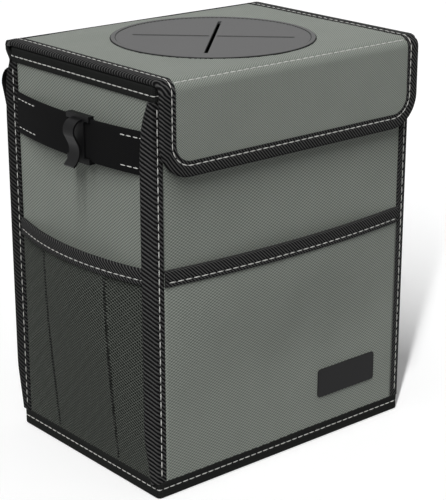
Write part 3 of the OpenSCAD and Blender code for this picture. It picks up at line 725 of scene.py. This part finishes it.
def mesh_pocket(side, place):
    """Two layers of slanting threads over the pleated pocket, with diamond holes between them."""
    steep = MESH_Z / MESH_X
    x0, x1, z0, z1 = -SIDE_HALF, SIDE_HALF, BASE_H - 1, POCKET_TOP - 1
    verts, faces = [], []
    for slope, depth in ((1, 0.18), (-1, 0.42)):
        for start in np.arange(MESH_Z / 2, (x1 - x0) * steep + z1 - z0, MESH_Z):
            lo = max(0, (start - (z1 - z0)) / steep)
            hi = min(x1 - x0, start / steep)
            n = max(2, int((hi - lo) / 2.2) + 1)
            run = np.linspace(lo, hi, n)
            z = z0 + start - run * steep
            x = x0 + run if slope > 0 else x1 - run
            edge = np.array([slope * steep, 1]) / math.hypot(1, steep) * MESH_WIDE / 2
            base = len(verts)
            for (dx, dz), lift in ((-edge, 0), (edge, 0), (0 * edge, MESH_HIGH)):
                px, pz = np.clip(x + dx, x0, x1), np.clip(z + dz, z0, z1)
                verts.extend(place(px, pz, side_bow(px, pz) + depth + lift).tolist())
            for i in range(n - 1):
                for k in range(3):
                    a, b = base + k * n + i, base + (k + 1) % 3 * n + i
                    faces.append((a, a + 1, b + 1, b))
            faces.append((base, base + n, base + 2 * n))
            faces.append((base + n - 1, base + 3 * n - 1, base + 2 * n - 1))

    def count(spots):
        across, up = (spots[:, 1] - x0) / MESH_X, (spots[:, 2] - z0) / MESH_Z
        return grid(up + across + 0.75, up - across + (x1 - x0) / MESH_X + 0.75)

    name = f"{side}_mesh"
    obj = finish_mesh(thread_mesh(name, verts, faces, count), name, MESH, recalculate=True)
    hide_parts(f"{side}_mesh_pocket")
    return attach(obj, "bin")


front_pocket()
pocket_tape("front_pocket_edge", "front_pocket_tape", POCKET_HALF, lambda x: front_bow(x, POCKET_TOP),
            at_front, FRONT_STITCH_UP, 1.25, 2.3, 0.98)
for side, place in (("left", at_left), ("right", at_right)):
    mesh_pocket(side, place)
    pocket_tape(f"{side}_pocket_edge", f"{side}_pocket_tape", SIDE_HALF, tape_bow, place,
                SIDE_STITCH_UP, 1.0, 2.4, -0.95)


# Lid and flap

def lid_profile(depth, foot, step=2.2):
    """Points in (y, z) and outward directions at depth out of the lid's inner face, from the
    rounded back edge over the top and the crease down to foot."""
    def turn(y, z, r, start, end, n):
        ways = map(heading, np.linspace(start, end, n))
        return [(np.array([y, z]) + r * way, way) for way in ways]

    top = np.linspace(BACK_Y, ROUND_Y, int((BACK_Y - ROUND_Y) / step))[1:-1]
    front = np.linspace(ROUND_Z, foot, int((ROUND_Z - foot) / step))[1:]
    spots = [*turn(BACK_Y, LID_FACE, depth, 0, 90, 8),
             *[([y, LID_FACE + depth], [0, 1]) for y in top],
             *turn(ROUND_Y, ROUND_Z, INNER_R + depth, 90, 180, 26),
             *[([ROUND_Y - INNER_R - depth, z], [-1, 0]) for z in front]]
    return np.array(spots).transpose(1, 0, 2)


def over_crease(obj):
    """A piece of the lid's cover, with its placement baked into its mesh."""
    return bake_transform(obj)


def crease_pull(points, amount):
    """How far the crease stitch pulls the cover in at points (y, z), amount at the most."""
    turn = np.degrees(np.arctan2(points[..., 1] - ROUND_Z, ROUND_Y - points[..., 0]))
    away = np.radians(turn - CREASE_SEWN) * CREASE_R
    near = np.hypot(points[..., 0] - ROUND_Y, points[..., 1] - ROUND_Z) < CREASE_R + 3
    return np.where(near, amount * np.exp(-(away / 1.1) ** 2), 0)


def lid_cover():
    """One fabric over the lid, the crease and the flap, with a round hole under the disc."""
    depth = FABRIC_TOP - LID_FACE
    line, out = lid_profile(depth, FLAP_FOOT + COVER_IN)
    run = section_length(line)[:, None]
    x = np.linspace(-FABRIC_HALF, FABRIC_HALF, 96)
    soft = ease((FABRIC_HALF - np.abs(x)) / 14)
    puff = 0.35 * soft * ease((run - 10) / 12) * ease((run[-1] - run) / 12)
    lift = puff + ripple(run, x, 75, 0.16, 3) * soft
    lift = lift + pucker(np.abs(x) - (LID_HALF - STITCH_IN), run, 0.2) * 0.8
    lift = np.maximum(lift, -0.1) - crease_pull(line, 0.55)[:, None]
    disc = np.hypot(x, line[:, :1] - DISC_MID_Y) < DISC_R - 1
    lift = np.where(disc & (out[:, 1:] > 0.99), -0.35, lift)
    rows = grid(x, line[:, :1] + out[:, :1] * lift, line[:, 1:] + out[:, 1:] * lift)
    corner_z = FLAP_FOOT + FLAP_CORNER
    r = FLAP_CORNER - COVER_IN
    inset = np.clip(np.abs(rows[..., 0]) - (LID_HALF - FLAP_CORNER), 0, r)
    foot = corner_z - np.sqrt(np.maximum(r * r - inset * inset, 0))
    low = rows[..., 2] < corner_z
    share = (corner_z - rows[..., 2]) / (corner_z - FLAP_FOOT - COVER_IN)
    rows[..., 2] = np.where(low, corner_z - share * (corner_z - foot), rows[..., 2])
    corner_drop = np.interp(corner_z, line[::-1, 1], -run[::-1, 0])
    uv = threads(x, np.where(low, rows[..., 2] - corner_z + corner_drop, -run), LID_THREADS)
    obj = build("lid_cover", rows, uv, GREY, thick=FABRIC_T * 0.85, outward=(0, -1, 1),
                hole=(0, DISC_MID_Y, DISC_HOLE_R, LID_FACE))
    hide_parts("lid_panel", "flap_panel")
    return over_crease(obj)


def edge_path():
    """Half of the tape's way round the lid and flap, on the left: points of the outer edge on the
    inner face, the way inwards over the sheet, and the way outwards from it."""
    step = 0.9
    spots = [([-LID_HALF, y, z], [1, 0, 0], [0, ny, nz])
             for (y, z), (ny, nz) in zip(*lid_profile(0.0, FLAP_FOOT + FLAP_CORNER, step))]
    for a in np.linspace(180, 270, 40)[1:]:
        c, s = heading(a)
        spots.append(([FLAP_CORNER - LID_HALF + FLAP_CORNER * c, ROUND_Y - INNER_R,
                       FLAP_FOOT + FLAP_CORNER + FLAP_CORNER * s], [-c, 0, -s], [0, -1, 0]))
    for x in np.arange(FLAP_CORNER - LID_HALF + step, 0, step):
        spots.append(([x, ROUND_Y - INNER_R, FLAP_FOOT], [0, 0, 1], [0, -1, 0]))
    return np.array(spots, float).transpose(1, 0, 2)


def whole_edge():
    """The tape's whole way, from the lid's back left corner to its back right one."""
    half = edge_path()
    return np.concatenate([half, half[:, -1:] * [0, 1, 1], half[:, ::-1] * [-1, 1, 1]], axis=1)


def lid_tape():
    """Tape folded round the edge of the lid and flap. Its ribs turn along the sides and are
    steeper on the flap."""
    r, roll, full = LID_ROLL_R, 3.0, LID_T
    face = padded_line([LID_TAPE_W, full], [r, full], 16, -0.12)
    section = np.concatenate([
        face, arc(r, full - r, r, 90, 180, 6)[1:], arc(r, r, r, 180, 270, 6),
        padded_line([r, 0], [LID_TAPE_W, 0], 4)[1:],
        [[LID_TAPE_W, TAPE_SKIN], [roll, TAPE_SKIN], [roll, full - TAPE_SKIN],
         [LID_TAPE_W, full - TAPE_SKIN]]])
    section[:, 1] -= stitch_groove(section[:, 0] - STITCH_IN, 0.45) * (section[:, 1] > full - 0.3)
    at, inward, out = whole_edge()
    pull = crease_pull(at[:, 1:] + full * out[:, 1:], 0.45)
    lift = section[:, 1] - pull[:, None] * (section[:, 1] > full / 2)
    rows = at[:, None] + section[:, :1] * inward[:, None] + lift[..., None] * out[:, None]
    wrap = np.append(section_length(section), 60)
    inset = np.append(section[:, 0], LID_TAPE_W)
    across = at[:, :1] + inward[:, :1] * inset
    left_edge = np.maximum(14 - LID_HALF - across, 0)
    climb = section_length(at[:, 1:])
    climb = np.minimum(climb, climb[-1] - climb)[:, None] - inward[:, 2:] * inset
    over_side = np.clip(wrap - LID_TAPE_W + r, 0, LID_T)
    low = climb[len(at) // 2] - 12
    rib = (0.435 * across + 0.135 * left_edge - 0.39 * climb + 0.15 * np.maximum(climb - low, 0)
           - 0.1 * over_side)
    uv = grid(rib, 0.7 * across + 0.7 * climb)
    obj = build("lid_edge_tape", rows, uv, RIBS, closed=True, ends=True)
    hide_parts("lid_tape", "flap_tape")
    return over_crease(obj)


lid_cover()
lid_tape()


# Straps

def strap(name, node, path, out, width_way, width, thick):
    """Webbing with rounded selvedges along a path of middle points."""
    r = thick / 2
    half = width / 2
    section = np.concatenate([
        padded_line([r - half, r], [half - r, r], 12), arc(half - r, 0, r, 90, -90, 6)[1:-1],
        padded_line([half - r, -r], [r - half, -r], 12), arc(r - half, 0, r, 270, 90, 6)[1:-1]])
    rows = path[:, None] + section[:, :1] * np.array(width_way) + section[:, 1:] * out[:, None]
    uv = grid(section_length(path)[:, None], np.append(section[:, 0], section[0, 0]))
    obj = build(name, rows, uv, WEBBING, closed=True, ends=True)
    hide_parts(node)
    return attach(obj, "bin")


# Half of a side strap's straight length, with a gap at the corner tape, and the radius of its bow
WEB_END_GAP = 0.6
WEB_CHORD = HALF_D - TAPE_IN - WEB_END_GAP
WEB_R = (WEB_CHORD ** 2 + WEB_BOW ** 2) / (2 * WEB_BOW)


def side_strap_line(mirror, offset=0.0, n=90):
    """Middle of a side strap and its outward way. mirror is 1 on the left and -1 on the right."""
    limit = math.asin(WEB_CHORD / WEB_R)
    a = np.linspace(-limit, limit, n)
    centre = WEB_R - HALF_W - WEB_BOW
    r = WEB_R + WEB_T / 2 + offset
    path = grid(mirror * (centre - r * np.cos(a)), r * np.sin(a), WEB_Z)
    return path, grid(-mirror * np.cos(a), np.sin(a), 0)


for side, mirror in (("left", 1), ("right", -1)):
    path, out = side_strap_line(mirror)
    strap(f"{side}_web", f"{side}_side_strap", path, out, (0, 0, 1), WEB_W, WEB_T)


# Middle of the buckle's bar, and the turns, sewn length and tail of the hanging straps
BUCKLE_T = 9.0
BUCKLE_GAP = 0.4
BUCKLE_Y = HALF_D + BUCKLE_T / 2 + BUCKLE_GAP
BUCKLE_Z = 112.0
BAR_R = 2.2
BAR_CLEAR = 0.3
BAR_WRAP = BAR_R + BAR_CLEAR + STRAP_T / 2
TURN_R = 12.0
TURN_Z = 234.0
SEWN = 40.0
TAIL = 24.0


def hanging_line():
    """The strap is sewn to the wall, turns over outwards, hangs down and wraps the buckle's bar.
    Points in (y, z), and the way off the strap's face in (x, y, z)."""
    wall_y = HALF_D + STRAP_T / 2 + 0.55
    bar_y = BUCKLE_Y - BAR_WRAP
    turn_y = HALF_D + STRAP_T / 2 + TURN_R
    k = np.linspace(0, 1, 30)[1:-1, None]
    start = np.array([turn_y + TURN_R, TURN_Z])
    end = np.array([BUCKLE_Y + BAR_WRAP, BUCKLE_Z + TAIL])
    fall = np.hstack([end[0] + (start[0] - end[0]) * (1 - k) ** 2,
                      start[1] + (end[1] - start[1]) * k])
    line = np.concatenate([
        padded_line([wall_y, TURN_Z - SEWN], [wall_y, TURN_Z], 16)[:-1],
        arc(turn_y, TURN_Z, TURN_R, 180, 0, 26), fall,
        padded_line(end, [end[0], BUCKLE_Z], 8)[:-1],
        arc(BUCKLE_Y, BUCKLE_Z, BAR_WRAP, 0, -180, 16),
        padded_line([bar_y, BUCKLE_Z], [bar_y + 0.2, BUCKLE_Z + TAIL], 8)[1:]])
    way = unit(np.gradient(line, axis=0))
    return line, grid(0, -way[:, 1], way[:, 0])


for side, mirror in (("left", -1), ("right", 1)):
    line, out = hanging_line()
    strap(f"{side}_hanging_web", f"{side}_hanging_strap", grid(mirror * HANG_X, *line.T), out,
          (1, 0, 0), HANG_W, STRAP_T)


# Stitches

# Pitch and length of the stitches of each kind of row
CORNER_STITCH = (5.75, 4.6)
BASE_STITCH = (5.2, 4.3)
RIM_STITCH = (5.2, 4.7)
LID_STITCH = (5.3, 4.7)
CREASE_STITCH = (5.3, 4.6)
WEB_STITCH = (5.2, 3.9)
HANGING_STITCH = (3.4, 2.6)
PLEAT_LOOP = (2.1, 0.8)
DISC_STITCH = (3.0, 2.3)


def stitch_row(name, points, normals, stitch, wide=0.75, high=0.42, lift=0.0, material=THREAD):
    """Short threads along a line: each dips into the cloth at its two ends. normals is the way off
    the cloth, at each point or for all."""
    pitch, dash = stitch
    normals = np.broadcast_to(np.asarray(normals, float), points.shape)
    run = section_length(points)
    count = int(run[-1] // pitch)
    start = (run[-1] - count * pitch) / 2 + (pitch - dash) / 2
    sides, rings = 6, 7
    t = np.linspace(0, 1, rings)
    arch = lift + high * 0.55 * np.sin(math.pi * t) - 0.12
    fat = 0.35 + 0.65 * np.sin(math.pi * np.clip(t, 0.06, 0.94)) ** 0.5
    verts, faces = [], []
    for i in range(count):
        shift = RNG.uniform(-0.12, 0.12)
        s = start + i * pitch + shift + np.linspace(0, dash * RNG.uniform(0.96, 1.04), rings)
        middle, up = (np.stack([np.interp(s, run, line[:, k]) for k in range(3)], -1)
                      for line in (points, normals))
        up = unit(up)
        side = np.cross(unit(np.gradient(middle, axis=0)), up)
        base = len(verts)
        for j in range(rings):
            for k in range(sides):
                a = math.tau * k / sides
                verts.append(middle[j] + up[j] * (arch[j] + high / 2 * fat[j] * math.sin(a))
                             + side[j] * wide / 2 * fat[j] * math.cos(a))
        for j in range(rings - 1):
            for k in range(sides):
                a, b = base + j * sides + k, base + j * sides + (k + 1) % sides
                faces.append((a, b, b + sides, a + sides))
        faces.append(tuple(base + k for k in range(sides))[::-1])
        faces.append(tuple(base + (rings - 1) * sides + k for k in range(sides)))
    mesh = thread_mesh(name, verts, faces, lambda spots: grid(spots[:, 0] + spots[:, 1], spots[:, 2]))
    return finish_mesh(mesh, name, material, recalculate=True, sharp=80)


def bin_stitches():
    """All the rows on the box, its pockets and its straps."""
    rows = []

    def add(points, normals, stitch):
        rows.append(stitch_row(f"row{len(rows)}", points, normals, stitch))

    z = np.linspace(BASE_H + 1, RIM_FOOT - 1, 80)
    face = -HALF_D - RIM_T
    for mirror in (1, -1):
        add(grid(-mirror * (HALF_W - 1.3), face + 0.05, z), (-0.2 * mirror, -0.98, 0), CORNER_STITCH)
        add(grid(-mirror * (HALF_W + RIM_T + 0.02), HALF_D - 1.5, z), (-mirror, 0, 0), CORNER_STITCH)
    for out, height, stitch in ((BASE_T - 0.3, BASE_STITCH_Z, BASE_STITCH),
                                (RIM_T - 0.3, RIM_STITCH_Z, RIM_STITCH)):
        loop = ring(HALF_W + out, HALF_D + out, 1.4, height)
        loop = np.vstack([loop, loop[:1]])
        add(loop, unit(grid(*off_box(loop[:, :2], 0.99).T, 0) + 1e-9), stitch)
    x = np.linspace(-POCKET_HALF + 0.5, POCKET_HALF - 0.5, 160)
    out = front_bow(x, POCKET_TOP) + 2.2
    add(at_front(x, POCKET_FOOT + FRONT_STITCH_UP, out), (0, -1, 0), CORNER_STITCH)
    y = np.linspace(-SIDE_HALF + 0.5, SIDE_HALF - 0.5, 160)
    for place, way in ((at_left, -1), (at_right, 1)):
        add(place(y, POCKET_FOOT + SIDE_STITCH_UP, tape_bow(y) + 1.9), (way, 0, 0), RIM_STITCH)
    for mirror in (1, -1):
        path, out = side_strap_line(mirror, WEB_T / 2 + 0.02, 160)
        run = section_length(path)
        for high in (WEB_W / 2 - 4.2, 4.2 - WEB_W / 2):
            for part in ((run > 0.6) & (run < 23), (run > run[-1] - 28) & (run < run[-1] - 0.6)):
                add(path[part] + [0, 0, high], out[part], WEB_STITCH)
    box = [(-9, 3), (9, 3), (9, 24), (-9, 24), (-9, 3), (9, 24)]
    for middle in (-HANG_X, HANG_X):
        sewn = [(middle + x, HALF_D + STRAP_T + 0.57, TURN_Z - SEWN + z) for x, z in box]
        tail = [[(middle + x, BUCKLE_Y + BAR_WRAP + STRAP_T / 2, BUCKLE_Z + z) for x in (-10, 10)]
                for z in (8, 11)]
        for a, b in [*zip(sewn, sewn[1:]), *tail]:
            add(np.linspace(a, b, 12), (0, 1, 0), HANGING_STITCH)
    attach(join("bin_stitches", rows), "bin")


def cover_stitches():
    """Stitches round the lid and flap, and along the crease."""
    at, inward, out = whole_edge()
    line = at + inward * STITCH_IN + out * (LID_T - 0.33)
    keep = slice(6, len(at) - 6)
    edge = stitch_row("edge_row", line[keep], out[keep], LID_STITCH)
    forward, up = heading(CREASE_SEWN)
    way = np.array([0, -forward, up])
    middle = np.array([0, ROUND_Y, ROUND_Z]) + way * (INNER_R + FABRIC_TOP - LID_FACE - 0.35)
    reach = [LID_HALF - STITCH_IN - 1.5, 0, 0]
    crease = stitch_row("crease_row", np.linspace(middle - reach, middle + reach, 60), way,
                        CREASE_STITCH, high=0.6, lift=0.15)
    over_crease(join("cover_stitches", [edge, crease]))


def pleat_fold_shadows():
    """Short dark loops along the folded edges of the mesh pockets' pleats: the folded edge, made dark to
    paint the shadow of each fold.
    """
    z = np.linspace(BASE_H + 1.5, POCKET_FOOT - 1, 140)
    out = side_bow(PLEAT_X - 0.4, z) + 0.6
    rows = []
    for place, way in ((at_left, -1), (at_right, 1)):
        for y in (-PLEAT_X - 0.6, PLEAT_X + 0.6):
            rows.append(stitch_row(f"fold{len(rows)}", place(y, z, out), (way, 0, 0), PLEAT_LOOP,
                                   wide=2.6, high=0.5, material=DARK_THREAD_AND_FOLD_SHADOW))
    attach(join("pleat_fold_shadows", rows), "bin")


def disc_details():
    """Pressed edge round the disc, made dark to paint the shadow line along it, and thin dark strips
    along its closed slit that paint the shade in the cut.
    """
    bead_r, thick = DISC_R + 0.25, 0.8
    turn = np.linspace(0, math.tau, 181)[:, None]
    wrap = np.linspace(0, math.tau, 9)[:-1]
    far = bead_r + thick / 2 * np.cos(wrap)
    rows = grid(far * np.cos(turn), DISC_MID_Y + far * np.sin(turn),
                FABRIC_TOP + 0.45 + thick / 2 * np.sin(wrap))
    uv = grid(turn * bead_r, np.linspace(0, 3, 9))
    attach(build("disc_edge", rows, uv, RUBBER_SHADE, closed=True), "lid")
    way = heading(-45)
    side = np.array([-way[1], way[0]])
    half = SLIT_LEN / 2 + 0.5
    # Thin dark strips over the slit: painted shade in the cut
    lips = []
    for sign in (1, -1):
        t = np.linspace(-half, half, 60)
        t = t[t * sign > 2.2][:, None]
        across = np.array([-0.5, 0.5])
        rows = grid(t * way[0] + across * side[0], DISC_MID_Y + t * way[1] + across * side[1],
                    DISC_HIGH[2] + 0.05)
        lips.append(build(f"lip{sign}", rows, grid(t, across + 0.5), RUBBER_SHADE,
                          thick=0.05, outward=(0, 0, 1)))
    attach(join("slit_shade_strips", lips), "lid")


def disc_stitches():
    """Fine dark stitches just inside the disc's edge."""
    a = np.linspace(0, math.tau, 400)
    r = DISC_R - 2.9
    line = grid(r * np.cos(a), DISC_MID_Y + r * np.sin(a), FABRIC_TOP + 0.72)
    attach(stitch_row("disc_stitches", line, (0, 0, 1), DISC_STITCH, wide=0.42, high=0.3,
                       material=DARK_THREAD_AND_FOLD_SHADOW), "lid")


bin_stitches()
cover_stitches()
pleat_fold_shadows()
disc_details()
disc_stitches()


# Hinge cloth between the back wall and the lid

def hinge_cloth():
    """Tape sewn to the top of the back wall and over the lid's back edge."""
    hinge_y, foot = HALF_D + FABRIC_T + LID_OVER, RIM_FOOT + 0.2
    z = np.linspace(foot, LID_FACE - 0.2, 12)
    lean = ease((z - foot) / (LID_FACE - 1.7 - foot))
    low = grid(HALF_D + RIM_T + 0.05 + (hinge_y - HALF_D - RIM_T) * lean, z)
    line = np.vstack([low, arc(BACK_Y, LID_FACE, LID_T + 0.25, 0, 55, 8)])
    x = np.linspace(-LID_HALF - 0.2, LID_HALF + 0.2, 80)
    run = section_length(line)
    rows, uv = grid(x, line[:, :1], line[:, 1:]), grid(x, run[:, None])
    obj = build("hinge_cloth", rows, uv, HEM, thick=0.6, outward=(0, 1, 0))
    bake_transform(obj)


hinge_cloth()


# Nodes that keep their own shape

def dress(material, bevel, *nodes):
    """Nodes keep their own mesh and get a material, and soft edges where bevel is more than 0."""
    for node in nodes:
        obj = frame["nodes"][node]
        obj.data.materials.clear()
        obj.data.materials.append(material)
        if bevel:
            soft = obj.modifiers.new("soft_edges", "BEVEL")
            soft.width = bevel * MM
            soft.segments = 2
            soft.limit_method = "ANGLE"
            soft.angle_limit = math.radians(40)


dress(BOARD, 0, "front_board", "back_board", "left_board", "right_board", "base_board", "lid_board",
      "flap_board")
dress(FILM, 0, "liner", "lid_lining", "flap_lining")
dress(LOOPS, 0, "closure_loop_strip", "closure_hook_strip")
dress(UNDER, 0, "base_panel")
dress(DISC, 0.3, "slit_disc")
dress(RUBBER, 0.35, "bare_patch")
dress(PLASTIC, 0.25, "buckle_socket", "buckle_plug", "left_bag_hook", "right_bag_hook")


# Stage, light and camera

# The camera as fitted to the photo: places in metres, the focal length in pixels
IMAGE_H = 500
FOCAL_PX = 1586.61
SENSOR = 36.0
CAMERA_AT = (-0.64869, -0.77755, 0.47131)
CAMERA_WAY = (0.61057, 0.72152, -0.32650)

# A tall strip of light, as suns one above the other, from the left and the front
KEY_HEIGHTS = np.arange(28, 71, 2.5)
KEY_TURN = math.radians(37.3)
KEY_SOFTNESS = 1.8
KEY_STRENGTH = 0.160

FLOOR_REACH = 8.0
FLOOR_Z = -0.2 * MM


def camera():
    """The camera stands where the photo was taken from."""
    data = bpy.data.cameras.new("camera")
    data.sensor_fit = "VERTICAL"
    data.sensor_height = SENSOR
    data.lens = FOCAL_PX / IMAGE_H * SENSOR
    data.clip_end = 20
    obj = new_object("camera", data)
    obj.location = CAMERA_AT
    obj.rotation_euler = Vector(CAMERA_WAY).to_track_quat("-Z", "Y").to_euler()
    bpy.context.scene.camera = obj


def sun(name, towards, softness, strength):
    """A far light: towards points from the object to it, and softness is its width in degrees."""
    data = bpy.data.lights.new(name, "SUN")
    data.angle = math.radians(softness)
    data.energy = strength
    obj = new_object(name, data)
    obj.rotation_euler = (-Vector(towards)).to_track_quat("-Z", "Y").to_euler()


def seen(tree):
    """1 for rays that show a surface to the camera, also in gloss and through glass."""
    path = tree.nodes.new("ShaderNodeLightPath")
    value = path.outputs["Is Camera Ray"]
    for other in ("Is Glossy Ray", "Is Transmission Ray"):
        most = tree.nodes.new("ShaderNodeMath")
        most.operation = "MAXIMUM"
        tree.links.new(value, most.inputs[0])
        tree.links.new(path.outputs[other], most.inputs[1])
        value = most.outputs[0]
    return value


def level(tree, low, high):
    """low for the light that reaches the object, high for what the camera sees."""
    made = tree.nodes.new("ShaderNodeMapRange")
    made.inputs["To Min"].default_value = low
    made.inputs["To Max"].default_value = high
    tree.links.new(seen(tree), made.inputs["Value"])
    return made.outputs[0]


def floor():
    """A pale floor that keeps the shadow: white to the camera, and grey to the light it throws back."""
    mesh = bpy.data.meshes.new("floor")
    corners = [(x * FLOOR_REACH, y * FLOOR_REACH, 0) for x, y in ((-1, -1), (1, -1), (1, 1), (-1, 1))]
    mesh.from_pydata(corners, [], [(0, 1, 2, 3)])
    obj = new_object("floor", mesh)
    obj.location.z = FLOOR_Z
    g = Graph("floor", 1.0, 0.0)
    g.colour(level(g.tree, 0.28, 1.0))
    g.link((1, 1, 1, 1), g.shader.inputs["Emission Color"])
    g.link(level(g.tree, 0.0, 0.085), g.shader.inputs["Emission Strength"])
    mesh.materials.append(g.material)


def world():
    """White to the camera, and a weak even light on the object."""
    made = bpy.data.worlds.new("world")
    made.use_nodes = True
    tree = made.node_tree
    back = tree.nodes["Background"]
    back.inputs["Color"].default_value = (1, 1, 1, 1)
    tree.links.new(level(tree, 0.20, 1.0), back.inputs["Strength"])
    bpy.context.scene.world = made


camera()
for height in KEY_HEIGHTS:
    flat, up = heading(height)
    towards = (-flat * math.cos(KEY_TURN), -flat * math.sin(KEY_TURN), up)
    sun(f"key_{height:g}", towards, KEY_SOFTNESS, KEY_STRENGTH)
sun("fill", (0.1, -1, 0.25), 60, 0.14)
sun("top", (-0.1, -0.1, 1), 70, 0.20)
floor()
world()
bpy.context.scene.view_settings.view_transform = "Standard"
